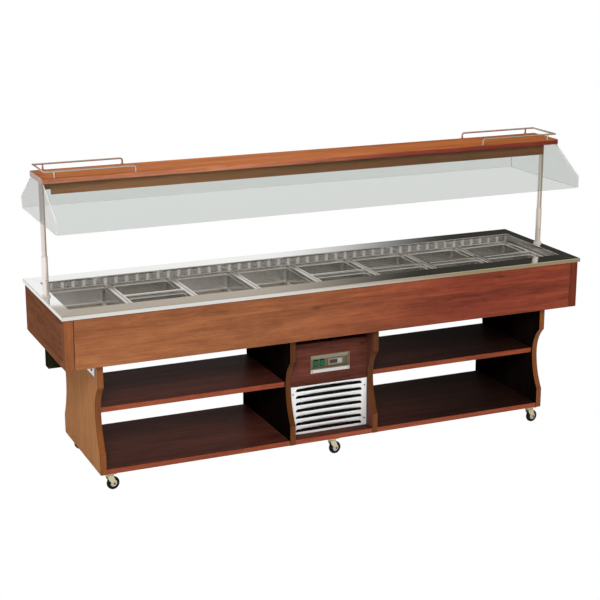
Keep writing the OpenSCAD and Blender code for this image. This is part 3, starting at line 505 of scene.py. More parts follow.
# ---- Pans ----
# Deep-drawn stainless food pans, whole and half size: a rolled flange, a stacking shoulder
# under it, drafted walls and a round bottom corner. Each lifts straight out.
PAN_SHEET, FLANGE, ROLL, FILLET, FOOT_CURVE = 0.0011, 0.012, 0.0012, 0.004, 0.014
pan_steel = steel("pan_steel", (0.66, 0.66, 0.65), (0.82, 0.82, 0.81), 0.2)
for node in sorted(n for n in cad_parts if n.startswith("pan_") and n != "pan_bars"):
    low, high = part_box(node)
    middle, half = (low + high) / 2, (high - low) / 2
    depth = high.z - low.z - PAN_SHEET
    wall = [(0.0004, -0.0019), (0, -ROLL)] + arc((ROLL, -ROLL), ROLL, 180, 90, 3)
    wall += arc((FLANGE - 0.003, -FILLET), FILLET, 90, 0)
    wall += [(FLANGE + 0.0012, -0.016), (FLANGE + 0.003, -0.0175), (FLANGE + 0.0034, -0.02)]
    wall += arc((FLANGE + 0.02, FOOT_CURVE - depth), FOOT_CURVE, 180, 270, 5)

    def pan_ring(inset, z):
        corner = 0.009 if inset < 0.006 else max(0.02 - inset * 0.35, 0.01)
        return rounded(half.x - inset, half.y - inset, corner, high.z + z, 6, middle)

    def under_ring(inset, z):
        """The ring on the lower side of the sheet."""
        level = inset < FLANGE - 0.003 or inset > FLANGE + 0.008
        return pan_ring(max(inset - PAN_SHEET, 0.0006), z - (PAN_SHEET if level else 0.0004))

    rings = [under_ring(*step) for step in reversed(wall[2:])] + [pan_ring(*step) for step in wall]
    Form().loft(rings).piece(node + "_pressed", pan_steel, body=node, slot="pan_steel",
                             stands_for=node, crease=60)


# ---- Aprons and corner posts ----
# Red-brown lacquered boards with the grain running along them, set off from upright corner
# posts by a dark groove. Their edges are lightly eased.
def timber(name, near, far=None, along="X", reach=(-1.3, 1.4), rough=0.38, gloss=0.13,
           coat=0.05, knots=0.0, shade=None, step=None):
    """Lacquered veneer: figure, streaks, pores. It may drift along X to a second palette, which
    where darker is painted shade toward the right-hand end. shade(z) darkens it by height, for dark
    joints and painted shade.
    """
    wood = Finish(name, Coat_Weight=coat, Coat_Roughness=0.1, Specular_IOR_Level=gloss)
    x, y, z = wood.place()
    run, side, up = {"X": (x, y, z), "Y": (y, x, z), "Z": (z, x, y)}[along]
    if step:
        run = run + step(x, y)

    def grain(lengthwise, crosswise, *how):
        return wood.cloud(run * lengthwise, side * crosswise, up * crosswise, *how)

    figure, streak = grain(0.9, 12, 5.0, 1.2), grain(4.2, 130, 4.0, 0.4)
    mottle, pores = grain(9, 34, 3.0, 0.8), grain(24, 640, 1.0).rise(0.58, 0.74)
    tone = figure * 0.85 + streak * 0.5 + mottle * 0.35 - 0.37
    colour = wood.ramp(tone, near)
    if far:
        colour = wood.mix(x.rise(*reach), colour, wood.ramp(tone, far))
    dark = darker(near[0])
    if knots:
        at = wood.node("ShaderNodeCombineXYZ", {0: run * 3.1, 1: side * 11, 2: up * 11})
        cell = wood.node("ShaderNodeTexVoronoi", {"Vector": at, "Scale": 1.0})
        spot = 1 - (cell + (streak - 0.5) * 0.06).rise(0.03, 0.13)
        colour = wood.mix(spot * knots, colour, dark)
    if shade:
        colour = wood.mix(shade(z), colour, dark)
    wood.feed("Base Color", wood.mix(pores * 0.4, colour, dark))
    wood.feed("Roughness", (streak - 0.5) * 0.2 + rough)
    return wood.relief(streak * 0.7 - pores * 0.6, 0.00012, 0.5)


MATT = {"gloss": 0.0, "coat": 0.0, "rough": 0.5}
APRON_FACE = 1.3705
# the aprons' end faces and the posts' side faces take this paler, matt copy of the wood, painted
# for the light that falls on the ends
APRON_END = ((0.15, 0.055, 0.028), (0.29, 0.112, 0.056), (0.4, 0.165, 0.086))
# toward the right-hand end the aprons turn darker and redder: partly the boards' own tone, partly
# painted shade
apron_wood = timber(
    "apron_wood", ((0.135, 0.043, 0.015), (0.26, 0.09, 0.033), (0.39, 0.152, 0.054)),
    ((0.085, 0.016, 0.009), (0.2, 0.038, 0.019), (0.34, 0.074, 0.032)),
    reach=(-0.6, 0.8), knots=0.75, step=lambda x, y: (y > 0) * 5.3)
end_wood = timber("apron_end_wood", APRON_END, along="Y", step=lambda x, y: (x > 0) * 3.1, **MATT)
# the posts' palette darkens toward the right-hand end: painted shade
post_wood = timber("post_wood", ((0.12, 0.034, 0.01), (0.23, 0.072, 0.023), (0.34, 0.118, 0.038)),
                   ((0.055, 0.009, 0.005), (0.125, 0.022, 0.011), (0.2, 0.038, 0.018)),
                   along="Z", reach=(-0.6, 0.9))
post_end_wood = timber("post_end_wood", APRON_END, along="Z", **MATT)
eased("aprons", [apron_wood, end_wood], slot="apron_wood",
      choose=lambda normal, middle: abs(middle.x) > APRON_FACE)
eased("corner_posts", [post_wood, post_end_wood], 0.002, slot="post_wood",
      choose=lambda normal, middle: abs(normal.x) > 0.7)


# ---- Panels, dividers and shelves ----
# End panels and dividers are veneered, with a lipping of solid wood on their curved edges
# that is jointed where the curve begins. The shelves are darker, with red-brown lippings.
END_FACE, UNIT_FACE = 1.2299, 0.22
WAIST_LOW, WAIST_HIGH = 0.195, 0.53


def seams(z):
    """Joints of the lipping, at the ends of the curve."""
    low, high = (abs(z - end).rise(0.0004, 0.0011) for end in (WAIST_LOW, WAIST_HIGH))
    return (1 - low * high) * 0.8


panel_wood = timber("panel_wood", ((0.48, 0.21, 0.088), (0.58, 0.265, 0.112), (0.67, 0.32, 0.14)),
                    along="Z", **MATT)
# darker round the waist of the curve, near z 0.4: painted shade, beside the dark joints
panel_lipping = timber(
    "panel_lipping", ((0.15, 0.045, 0.011), (0.21, 0.067, 0.018), (0.27, 0.09, 0.027)), along="Z",
    shade=lambda z: seams(z) + (1 - abs(z - 0.4).rise(0.04, 0.14)) * 0.3)
# a darker copy of the lipping, darker again above z 0.195: painted shade under the aprons'
# overhang, beside the dark joints
divider_lipping = timber(
    "divider_lipping", ((0.085, 0.024, 0.004), (0.13, 0.038, 0.007), (0.19, 0.06, 0.012)),
    along="Z", shade=lambda z: seams(z) + z.rise(0.194, 0.196) * 0.5)
# the faces inside the bays are near black: painted shade, not the wood's own colour
inner_wood_painted_shade = timber(
    "inner_wood_painted_shade", ((0.003, 0.002, 0.0015), (0.007, 0.004, 0.003), (0.014, 0.007, 0.005)),
    along="Z", **MATT)
unit_side = timber(
    "unit_side_wood", ((0.06, 0.02, 0.012), (0.12, 0.038, 0.024), (0.19, 0.062, 0.036)),
    along="Z", gloss=0.05)
# the shelves turn nearly black toward the right-hand bay: painted shade
shelf_wood = timber(
    "shelf_wood", ((0.035, 0.011, 0.007), (0.09, 0.025, 0.017), (0.15, 0.042, 0.027)),
    ((0.008, 0.004, 0.003), (0.022, 0.009, 0.007), (0.042, 0.016, 0.011)),
    reach=(-0.3, 1.0), rough=0.4, gloss=0.02, coat=0.0)
shelf_lipping = timber(
    "shelf_lipping", ((0.13, 0.026, 0.011), (0.25, 0.052, 0.021), (0.34, 0.084, 0.035)))


def board_side(normal, middle, plane):
    """1 for the edges, 0 for faces beyond a plane to the left or right, 2 for the rest."""
    if abs(normal.x) < 0.7:
        return 1
    return 0 if abs(middle.x) > plane else 2


eased("end_panels", [panel_wood, panel_lipping, inner_wood_painted_shade], 0.002, slot="panel_wood",
      choose=lambda normal, middle: board_side(normal, middle, END_FACE))
eased("dividers", [inner_wood_painted_shade, divider_lipping, unit_side], 0.002, slot="panel_wood",
      choose=lambda normal, middle: board_side(normal, middle, UNIT_FACE))
eased("shelves", [shelf_wood, shelf_lipping], 0.0015, slot="shelf_wood",
      choose=lambda normal, middle: abs(normal.y) > 0.7)


# ---- Support angles ----
# Folded zinc-plated angles that hang the tank on the end panels, each held by six screws.
def screw_head(radius, height, slot_width, sides=16):
    """A pan head with a driving slot, about its own Z axis."""
    form = Form().turned([(radius, 0), (radius, height * 0.45), (radius * 0.8, height * 0.86),
                          (radius * 0.42, height)], (0, 0, 0), sides=sides)
    return form.paint(1).block((-radius * 0.7, -slot_width, height * 0.7),
                               (radius * 0.7, slot_width, height * 1.03))


def set_out(name, pattern, spots, finishes, body="base"):
    """Sets one pattern out at (place, facing) spots with Geometry Nodes, as one plain mesh."""
    single = bpy.data.objects.new(name + "_pattern", pattern.close(name + "_pattern"))
    points = bpy.data.meshes.new(name)
    points.from_pydata([place for place, _ in spots], [], [])
    facing = points.attributes.new("facing", "FLOAT_VECTOR", "POINT")
    for index, (_, toward) in enumerate(spots):
        facing.data[index].vector = toward
    made = bpy.data.objects.new(name, points)
    scene.collection.objects.link(made)
    group = bpy.data.node_groups.new(name, "GeometryNodeTree")
    for socket, way in (("Points", "INPUT"), ("Pieces", "OUTPUT")):
        group.interface.new_socket(socket, in_out=way, socket_type="NodeSocketGeometry")
    tree = Tree(group)
    given = tree.node("NodeGroupInput")
    pattern_in = tree.node("GeometryNodeObjectInfo", {"Object": single}, 4)
    toward = tree.node("GeometryNodeInputNamedAttribute", {"Name": "facing"},
                       data_type="FLOAT_VECTOR")
    turn = tree.node("FunctionNodeAlignRotationToVector", {"Vector": toward}, axis="Z")
    placed = tree.node("GeometryNodeInstanceOnPoints",
                       {"Points": given, "Instance": pattern_in, "Rotation": turn})
    whole = tree.node("GeometryNodeRealizeInstances", {"Geometry": placed})
    for index, finish in enumerate(finishes):
        number = tree.node("GeometryNodeInputMaterialIndex")
        chosen = tree.node("FunctionNodeCompare", {2: number, 3: index}, data_type="INT",
                           operation="EQUAL")
        whole = tree.node("GeometryNodeSetMaterial", {
            "Geometry": whole, "Selection": chosen, "Material": finish.material})
    tree.node("NodeGroupOutput", {0: whole})
    made.modifiers.new("set_out", "NODES").node_group = group
    settle(made)
    bpy.data.objects.remove(single)
    smooth(made.data)
    return join_frame(made, body)


def coated(name, colour, rough, grain=900, depth=0.00003, metallic=0.0, **plain):
    """Paint, plastic or plating with a faint texture in its gloss."""
    skin = Finish(name, Metallic=metallic, **plain)
    x, y, z = skin.place()
    speck = skin.cloud(x * grain, y * grain, z * grain, 2.0)
    patch = skin.cloud(x * 7, y * 7, z * 7, 3.0)
    light = tuple(min(c * 1.08, 1) for c in colour)
    skin.feed("Base Color", skin.mix(patch * 0.7 + speck * 0.3, darker(colour, 0.88), light))
    skin.feed("Roughness", (speck - 0.5) * 0.12 + (patch - 0.5) * 0.1 + rough)
    return skin.relief(speck, depth, 0.5)


ANGLE_FACE = 1.2332
angle_steel = steel("angle_steel", (0.5, 0.56, 0.62), (0.66, 0.72, 0.78), 0.3)
slot_dark = coated("slot_dark", (0.03, 0.03, 0.03), 0.5)
screw_zinc = steel("screw_zinc", (0.5, 0.5, 0.48), (0.66, 0.66, 0.63), 0.25)
SCREW = [screw_zinc, slot_dark]
eased("support_angles", angle_steel, 0.0008, slot="angle_steel")
set_out("angle_screws", screw_head(0.006, 0.0035, 0.0009),
        [((side * ANGLE_FACE, y, z), (side, 0, 0))
         for side in SIDES for y in (-0.24, 0, 0.24) for z in (0.6, 0.64)], SCREW)


# ---- Cooling unit front and back ----
# Mahogany panels, and white powder-coated grilles whose seven louvres are bowed inward from
# the sheet.
unit_wood = timber("unit_wood", ((0.03, 0.01, 0.007), (0.1, 0.03, 0.02), (0.19, 0.054, 0.032)),
                   knots=0.8, gloss=0.02, coat=0.0)
eased("unit_panels", unit_wood, 0.001, slot="unit_wood")

grille_low, grille_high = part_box("louvre_grilles")
grille_half, sheet_y = grille_high.x, abs(grille_low.y)
LOUVRE_HALF, OPENING_HALF, LOUVRE_END, GRILLE_SHEET = 0.185, 0.0073, 0.009, 0.0011
louvre_z = [grille_low.z + 0.02 + 0.036 * i for i in range(7)]
levels = [grille_low.z + 0.0008, *(z - OPENING_HALF for z in louvre_z), grille_high.z - 0.0008]
columns = [-math.cos(math.pi * i / 40) * LOUVRE_HALF for i in range(41)]
parts = [step / 10 for step in range(11)]
# the flat edge beside the louvres and its flange, folded inward
fold = ((LOUVRE_HALF, 0), (grille_half - 0.0016, 0), (grille_half, 0.0016), (grille_half, 0.012))


def slot_top(u, z):
    """Upper edge of a louvre's opening, rounded down at both ends."""
    end = max(abs(u) - (LOUVRE_HALF - LOUVRE_END), 0) / LOUVRE_END
    return z - OPENING_HALF + 2 * OPENING_HALF * math.sqrt(max(1 - end * end, 0))


def bow(u, part):
    """How far a louvre stands inward, at a part of its height."""
    return 0.01 * max(1 - (u / LOUVRE_HALF) ** 2, 0) ** 0.7 * max(1 - part / 0.6, 0) ** 1.4


grille = Form()
for way in SIDES:
    def at(u, deep, z):
        return Vector((u * -way, way * (sheet_y - deep), z))

    for index, (start, end) in enumerate(zip(levels, levels[1:])):
        feet = [slot_top(u, louvre_z[index - 1]) if index else start for u in columns]
        grille.sheet([[at(u, bow(u, part) if index else 0, foot + (end - foot) * part)
                       for u, foot in zip(columns, feet)] for part in parts])
        for side in SIDES:
            grille.sheet([[at(side * x, deep, start + (end - start) * part) for x, deep in fold]
                          for part in parts])


def inward(point):
    point.y -= math.copysign(GRILLE_SHEET, point.y)
    if abs(point.x) > grille_half - 0.0009:
        point.x -= math.copysign(GRILLE_SHEET, point.x)


grille_white = coated("grille_white", (0.74, 0.75, 0.74), 0.4)
grille.thicken(inward).piece("pressed_grilles", grille_white, slot="grille_white",
                             stands_for="louvre_grilles", crease=50)
set_out("grille_screws", screw_head(0.0042, 0.002, 0.0006),
        [((sx * 0.2, way * (sheet_y + 0.0001), z), (0, way, 0))
         for way, sx in CORNERS for z in (0.155, 0.335)], SCREW)


# ---- Controls ----
# Satin stainless tray pressed inward, with a sloped upper lip and a flat strip below, two
# green rocker switches in black surrounds, and a small electronic thermostat.
plate_low, plate_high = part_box("control_plate")
pin_z = (plate_low.z + plate_high.z) / 2
front_y, sunk_y, strip_top = plate_low.y, -0.241, plate_low.z + 0.017
TRAY_SHEET, TRAY_RIM, TRAY_WALL, LIP_DROP = 0.0012, 0.003, 0.0066, 0.026
rocker_boxes = [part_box("rocker_left"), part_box("rocker_right")]
thermo_low, thermo_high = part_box("thermostat")


def frame_ring(form, x0, x1, z0, z1, width, y0, y1, corner=0.001):
    """A flat surround round an opening, from y0 at the back to y1 at the front."""
    middle = ((x0 + x1) / 2, (z0 + z1) / 2)
    half_l, half_w = (x1 - x0) / 2, (z1 - z0) / 2
    lip = min(0.0006, abs(y1 - y0) / 2)
    away = y1 + math.copysign(lip, y0 - y1)
    rings = []
    for grow, y in ((width, y0), (width, away), (width - lip, y1), (lip, y1), (0, away), (0, y0)):
        ring = rounded(half_l + grow, half_w + grow, corner + grow, 0, 3, middle)
        rings.append([Vector((point.x, y, point.y)) for point in ring])
    return form.loft(rings, loop=True)


def pierced(form, place, half_a, half_b, radius, near, far, sides=32):
    """A rectangular plate with a round hole. place(a, b, depth) gives its points."""
    turns = [(math.cos(t), math.sin(t)) for t in round_turns(sides)]
    edge = []
    for a, b in turns:
        reach = min(half_a / max(abs(a), 1e-6), half_b / max(abs(b), 1e-6))
        edge.append((reach * a, reach * b))
    for corner in ((half_a, half_b), (-half_a, half_b), (-half_a, -half_b), (half_a, -half_b)):
        edge[min(range(sides), key=lambda i: math.dist(edge[i], corner))] = corner
    hole = [(radius * a, radius * b) for a, b in turns]
    steps = ((hole, near), (edge, near), (edge, far), (hole, far))
    return form.loft([[place(a, b, depth) for a, b in line] for line, depth in steps], loop=True)


tray = Form()
floor_low, floor_high = strip_top + 0.0016, plate_high.z - LIP_DROP
steps = ((0, plate_low.z, plate_high.z, front_y),
         (TRAY_RIM, strip_top, plate_high.z - TRAY_RIM, front_y),
         (TRAY_WALL, floor_low, floor_high, sunk_y))
rims = []
for inset, low, high, y in steps:
    left, right = plate_low.x + inset, plate_high.x - inset
    ring = ((left, high), (right, high), (right, low), (left, low))
    rims.append([tray.mesh.verts.new((x, y, z)) for x, z in ring])
for outer, inner in zip(rims, rims[1:]):
    for i in range(4):
        tray.mesh.faces.new((outer[i - 1], outer[i], inner[i], inner[i - 1]))
# a rocker tips to both sides of its pin, which lies behind the middle of the plate
tip_h = max(max(high.z - pin_z, pin_z - low.z) for low, high in rocker_boxes)
holes = [(low.x + 0.001, high.x - 0.001, pin_z - tip_h - 0.0004, pin_z + tip_h + 0.0004)
         for low, high in rocker_boxes]
holes.append((thermo_low.x + 0.003, thermo_high.x - 0.003,
              thermo_low.z + 0.003, thermo_high.z - 0.003))
lines_x = sorted({plate_low.x + TRAY_WALL, plate_high.x - TRAY_WALL,
                  *(x for hole in holes for x in hole[:2])})
lines_z = sorted({floor_low, floor_high, *(z for hole in holes for z in hole[2:])})
for x0, x1 in zip(lines_x, lines_x[1:]):
    for z0, z1 in zip(lines_z, lines_z[1:]):
        x, z = (x0 + x1) / 2, (z0 + z1) / 2
        if not any(a < x < b and c < z < d for a, b, c, d in holes):
            corners = ((x0, z0), (x1, z0), (x1, z1), (x0, z1))
            tray.mesh.faces.new([tray.mesh.verts.new((x, sunk_y, z)) for x, z in corners])


def behind(point):
    point.y += TRAY_SHEET


tray.thicken(behind)
for face in tray.mesh.faces:
    middle = face.calc_center_median()
    if middle.z < strip_top and middle.y < front_y + 0.0008:
        face.material_index = 1
    elif middle.y > sunk_y - 0.0004 and abs(face.normal.y) > 0.9:
        face.material_index = 2
    elif middle.y > front_y + 0.001:
        face.material_index = 3
# the lip and inner walls take a lighter copy of the tray's steel: painted light
tray_finishes = [
    steel("control_steel", (0.17, 0.15, 0.11), (0.28, 0.25, 0.19), 0.4),
    steel("strip_steel", (0.62, 0.62, 0.61), (0.74, 0.74, 0.73), 0.3),
    steel("control_face_steel", (0.17, 0.135, 0.08), (0.26, 0.205, 0.125), 0.5),
    steel("control_lip_steel", (0.25, 0.225, 0.16), (0.36, 0.33, 0.24), 0.5, metallic=0.3)]
tray.piece("control_tray", tray_finishes, slot="control_steel", stands_for="control_plate")

# a flat surround, two ears for the pin, and a housing that closes the opening behind
EAR, HOUSING, HOUSING_DEPTH = 0.0017, 0.0012, 0.0123
switch_black = coated("switch_black", (0.018, 0.018, 0.018), 0.6, Specular_IOR_Level=0.15)
surrounds = Form()
for low, high in rocker_boxes:
    frame_ring(surrounds, low.x + 0.0011, high.x - 0.0011, pin_z - tip_h - 0.0006,
               pin_z + tip_h + 0.0006, 0.002, sunk_y - 0.0001, sunk_y - 0.001)
    for ear_x in (low.x + 0.0001, high.x - 0.0001 - EAR):
        pierced(surrounds, lambda a, b, depth: Vector((depth, sunk_y + 0.006 + a, pin_z + b)),
                0.0047, tip_h + 0.0008, 0.0017, ear_x, ear_x + EAR)
    shut = tip_h + 0.0006
    for near, z0, z1 in ((0.0013, shut, shut + HOUSING), (0.0013, -shut - HOUSING, -shut),
                         (HOUSING_DEPTH - 0.001, -shut - HOUSING, shut + HOUSING)):
        surrounds.block((low.x + 0.0001, sunk_y + near, pin_z + z0),
                        (high.x - 0.0001, sunk_y + HOUSING_DEPTH, pin_z + z1))
surrounds.piece("rocker_surrounds", switch_black)
rocker_green = coated("rocker_green", (0.0, 0.09, 0.035), 0.35, Coat_Weight=0.05,
                      Specular_IOR_Level=0.2)
for node in ("rocker_left", "rocker_right"):
    eased(node, rocker_green, 0.0006, body=node, slot="rocker_green")


def thermo_box(inset, near, far):
    """Corners of a block set in from the thermostat's outline, at depths from the tray."""
    return ((thermo_low.x + inset, sunk_y + near, thermo_low.z + inset),
            (thermo_high.x - inset, sunk_y + far, thermo_high.z - inset))


KEY, KEY_PITCH, BEZEL = 0.0095, 0.0115, 0.0028
case_grey = coated("case_grey", (0.2, 0.185, 0.145), 0.5, Specular_IOR_Level=0.2)
display_dark = coated("display_dark", (0.045, 0.03, 0.02), 0.3, Specular_IOR_Level=0.2)
key_grey = coated("key_grey", (0.4, 0.41, 0.42), 0.5)
thermo = Form().block(*thermo_box(0.003, 0, thermo_high.y - sunk_y))
thermo.block(*thermo_box(0.0026, -0.0025, -0.0002))
frame_ring(thermo, thermo_low.x + BEZEL, thermo_high.x - BEZEL, thermo_low.z + BEZEL,
           thermo_high.z - BEZEL, BEZEL, sunk_y - 0.0001, thermo_low.y, 0.0016)
thermo.paint(1).block((thermo_low.x + 0.008, sunk_y - 0.0031, thermo_low.z + 0.008),
                      (thermo_low.x + 0.051, sunk_y - 0.0024, thermo_high.z - 0.008), 0.0003, 1)
for column in range(2):
    for row in range(2):
        x = thermo_low.x + 0.0538 + column * KEY_PITCH
        z = thermo_low.z + 0.0075 + row * KEY_PITCH
        thermo.paint(2).block((x, sunk_y - 0.0038, z), (x + KEY, sunk_y - 0.0024, z + KEY),
                              0.0008, 2)
thermo.piece("thermostat_case", [case_grey, display_dark, key_grey], slot="thermostat_case",
             stands_for="thermostat")
set_out("strip_screw", screw_head(0.0032, 0.0014, 0.0005),
        [((x, front_y, plate_low.z + 0.0085), (0, -1, 0))
         for x in (plate_low.x + 0.009, plate_high.x - 0.009)], SCREW)

gland_low, gland_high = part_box("mains_inlet")
gland_mid = (gland_low + gland_high) / 2
gland_profile = [(0.0055, 0), (0.0109, 0), (0.0109, 0.0182), (0.0145, 0.0184), (0.0147, 0.0195),
                 (0.0147, 0.025), (0.0138, 0.0262), (0.0115, 0.0266), (0.0112, 0.0325),
                 (0.0098, 0.034), (0.0055, 0.034)]
gland_black = coated("gland_black", (0.02, 0.02, 0.02), 0.5)
gland = Form().turned(gland_profile, (gland_mid.x, gland_low.y, gland_mid.z), ALONG_Y, 24, True)
gland.piece("inlet_gland", gland_black, slot="gland_black", stands_for="mains_inlet")


# ---- Machine ----
# Hermetic compressor on rubber feet, finned condenser with a fan in a shroud, copper pipes
# with soft bends up to the well, and the finned evaporator under the pans.
black_enamel = coated("black_enamel", (0.014, 0.014, 0.015), 0.35, Specular_IOR_Level=0.3)
rubber = coated("rubber", (0.02, 0.02, 0.02), 0.75)
copper = coated("copper", (0.55, 0.23, 0.12), 0.3, metallic=1.0)
fin_metal = steel("fin_aluminium", (0.5, 0.5, 0.51), (0.64, 0.64, 0.65), 0.38)
PIPE_R = 0.005

pot_low, pot_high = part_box("compressor")
pot, pot_r = (pot_low + pot_high) / 2, (pot_high.x - pot_low.x) / 2
base_z, wall_r, dome_z = pot_low.z + 0.008, pot_r - 0.003, pot_high.z - 0.032
outline = [(pot_r - 0.012, base_z + 0.004), (wall_r, base_z + 0.012), (wall_r, base_z + 0.09),
           (pot_r, base_z + 0.092), (pot_r, base_z + 0.098), (wall_r, base_z + 0.1),
           (wall_r, dome_z)]
outline += [(pot_r - 0.035 + 0.032 * math.cos(t), dome_z + 0.032 * math.sin(t))
            for t in (0.35, 0.7, 1.05, 1.4)]
shell = Form().turned(outline + [(0.004, pot_high.z)], (pot.x, pot.y, 0), sides=48)
shell.block((pot_low.x, pot_low.y, base_z), (pot_high.x, pot_high.y, base_z + 0.004), 0.001)
shell.block((pot.x - 0.03, pot.y - pot_r + 0.0002, base_z + 0.03),
            (pot.x + 0.03, pot.y - pot_r + 0.03, base_z + 0.08), 0.003)
rubber_foot = [(0.009, 0), (0.01, 0.002), (0.0085, 0.004), (0.01, 0.0065), (0.009, 0.008)]
for sx, sy in CORNERS:
    foot_at = (pot.x + sx * (pot_r - 0.011), pot.y + sy * (pot_r - 0.011), pot_low.z)
    shell.paint(1).turned(rubber_foot, foot_at, sides=20)
shell.piece("compressor_shell", [black_enamel, rubber], slot="black_shell",
            stands_for="compressor")


def serpentine(stops, half):
    """A path that runs to and fro along X past (y, z) stops, with half turns at the ends."""
    path, side = [Vector((-half, *stops[0]))], 1
    for here, after in zip(stops, stops[1:]):
        a, b = Vector((side * half, *here)), Vector((side * half, *after))
        reach = (b - a).length / 2
        path += [(a + b) / 2 + (a - b) / 2 * math.cos(t)
                 + Vector((side * reach * math.sin(t), 0, 0))
                 for t in (math.pi * i / 8 for i in range(9))]
        side = -side
    return path + [Vector((side * half, *stops[-1]))]


def finned(node, plate_finish, half, plate, fins, stops):
    """Fins set out along X on a serpentine tube, between two end plates."""
    low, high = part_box(node)
    form = Form()
    for side in SIDES:
        form.block((side * half - plate, low.y, low.z), (side * half + plate, high.y, high.z),
                   0.0004, 1)
    form.paint(1).tube(serpentine(stops, half + plate), PIPE_R, 10)
    form.piece(node + "_coil", [plate_finish, copper], slot="fin_aluminium", stands_for=node)
    fin = Form().block((0.003 - high.z, low.y + 0.003, -0.00015),
                       (-low.z - 0.008, high.y - 0.003, 0.00015))
    spots = [((half * (2 * (i + 1) / (fins + 1) - 1), 0, 0), (1, 0, 0)) for i in range(fins)]
    set_out(node + "_fins", fin, spots, [fin_metal])


cond_low, cond_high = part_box("condenser")
cond_y = (cond_low.y + cond_high.y) / 2
near_row, far_row = cond_y - 0.008, cond_y + 0.008
stops = [(far_row if (level + second) % 2 else near_row, 0.163 + 0.04 * level)
         for level in (4, 3, 2, 1, 0) for second in (0, 1)]
# the condenser's end plates are black enamel, dark also as painted shade seen through the grille's
# gaps
finned("condenser", black_enamel, 0.15, 0.003, 74, stops)
stops = [(-0.1 + 0.04 * i, 0.74 + (0.011 if i % 2 else -0.011)) for i in range(6)]
finned("evaporator", fin_metal, 0.588, 0.002, 146, stops)

motor_grey = coated("motor_grey", (0.16, 0.17, 0.18), 0.45)
fan_z, shroud_z, shroud_y, hole_r = 0.243, 0.24, cond_high.y, 0.106
motor_y = shroud_y + 0.037
motor = pierced(Form(), lambda a, b, depth: Vector((a, depth, shroud_z + b)), 0.15, 0.123,
                hole_r + 0.001, shroud_y, shroud_y + 0.003, 48)
motor.turned([(hole_r, 0), (hole_r + 0.0015, 0.002), (hole_r + 0.0015, 0.034),
              (hole_r + 0.003, 0.034), (hole_r + 0.003, 0.0005)],
             (0, shroud_y + 0.003, fan_z), ALONG_Y, 48, True)
motor.paint(1).turned([(0.012, 0), (0.034, 0.001), (0.039, 0.005), (0.039, 0.018),
                       (0.0375, 0.019), (0.0375, 0.037), (0.039, 0.038), (0.039, 0.051),
                       (0.035, 0.055), (0.01, 0.056)], (0, motor_y, fan_z), ALONG_Y, 40)
motor.turned([(0.003, 0), (0.003, 0.034)], (0, motor_y - 0.026, fan_z), ALONG_Y, 16)
motor.block((-0.02, motor_y + 0.0187, 0.117), (0.02, motor_y + 0.0373, fan_z - 0.0355), 0.0008)
motor.piece("fan_motor_shroud", [fin_metal, motor_grey], slot="motor_grey",
            stands_for="fan_motor")
WIRE_R = 0.0011
guard = Form()
for guard_r in (0.05, 0.064, 0.078, 0.092, 0.106):
    guard.turned([(guard_r + WIRE_R * math.cos(t), WIRE_R * math.sin(t)) for t in round_turns(8)],
                 (0, motor_y + 0.0012, fan_z), ALONG_Y, 40, True)
for spoke in range(6):
    turn = math.radians(30 + 60 * spoke)
    reach = Vector((math.cos(turn), 0, math.sin(turn)))
    guard.tube([Vector((0, motor_y + 0.003, fan_z)) + reach * r for r in (0.036, 0.108)],
               0.0014, 8)
guard.piece("fan_guard", screw_zinc)

BLADES, STATIONS = 5, 8
fan_black = coated("fan_black", (0.03, 0.03, 0.03), 0.5)
fan_hub = (0, shroud_y + 0.02, fan_z)
fan = Form().turned([(0.0032, -0.009), (0.022, -0.009), (0.0265, -0.007), (0.028, -0.003),
                     (0.028, 0.009), (0.0032, 0.009)], fan_hub, ALONG_Y, 40, True)
edge = [(s / 6, 1) for s in range(-6, 7)] + [(s / 6, -1) for s in range(6, -7, -1)]
for blade in range(BLADES):
    spin = Matrix.Translation(fan_hub) @ Matrix.Rotation(math.tau * blade / BLADES, 4, "Y")
    rings = []
    for station in range(STATIONS + 1):
        out = 0.026 + 0.073 * station / STATIONS
        swell = min(station / STATIONS * 0.62 + 0.12, 0.7)
        width = 0.017 + 0.008 * math.sin(math.pi * swell)
        rings.append([spin @ Vector((
            math.sqrt(max(out ** 2 - (s * width) ** 2 * 0.35, 0)),
            s * 0.0125 * (1.05 - 0.03 * station) + 0.003 * (1 - s * s) + side * 0.0008,
            s * width)) for s, side in edge])
    fan.loft(rings)
fan.piece("fan_rotor", fan_black, body="fan_blades", slot="fan_black", stands_for="fan_blades")


def soft(points, radius):
    """A path through points with its corners bent to a curve."""
    points = [Vector(point) for point in points]
    path = [points[0]]
    for a, b, c in zip(points, points[1:], points[2:]):
        start, end = (b + (other - b).normalized() * min(radius, (other - b).length * 0.49)
                      for other in (a, c))
        path += [(1 - t) ** 2 * start + 2 * t * (1 - t) * b + t * t * end
                 for t in (i / 6 for i in range(7))]
    return path + [points[-1]]


# compressor to condenser, condenser to evaporator, and evaporator to compressor
over_z, side_x, back_y = 0.383, -0.17, 0.215
hot = [(0.075, 0.115, 0.307), (0.075, 0.115, over_z), (side_x, 0.115, over_z),
       (side_x, near_row, over_z), (side_x, near_row, 0.323), (-0.153, near_row, 0.323)]
liquid = [(-0.153, far_row, 0.163), (side_x, far_row, 0.163), (side_x, back_y, 0.163),
          (side_x, back_y, 0.594), (0.143, back_y, 0.594), (0.143, back_y, 0.718)]
suction = [(0.115, 0.155, 0.307), (0.115, 0.155, over_z), (0.157, 0.155, over_z),
           (0.157, back_y, over_z), (0.157, back_y, 0.718)]
pipes = Form()
for run in (hot, liquid, suction):
    pipes.tube(soft(run, 0.022), PIPE_R, 12)
pipes.piece("copper_pipes", copper, slot="copper", stands_for="pipework")


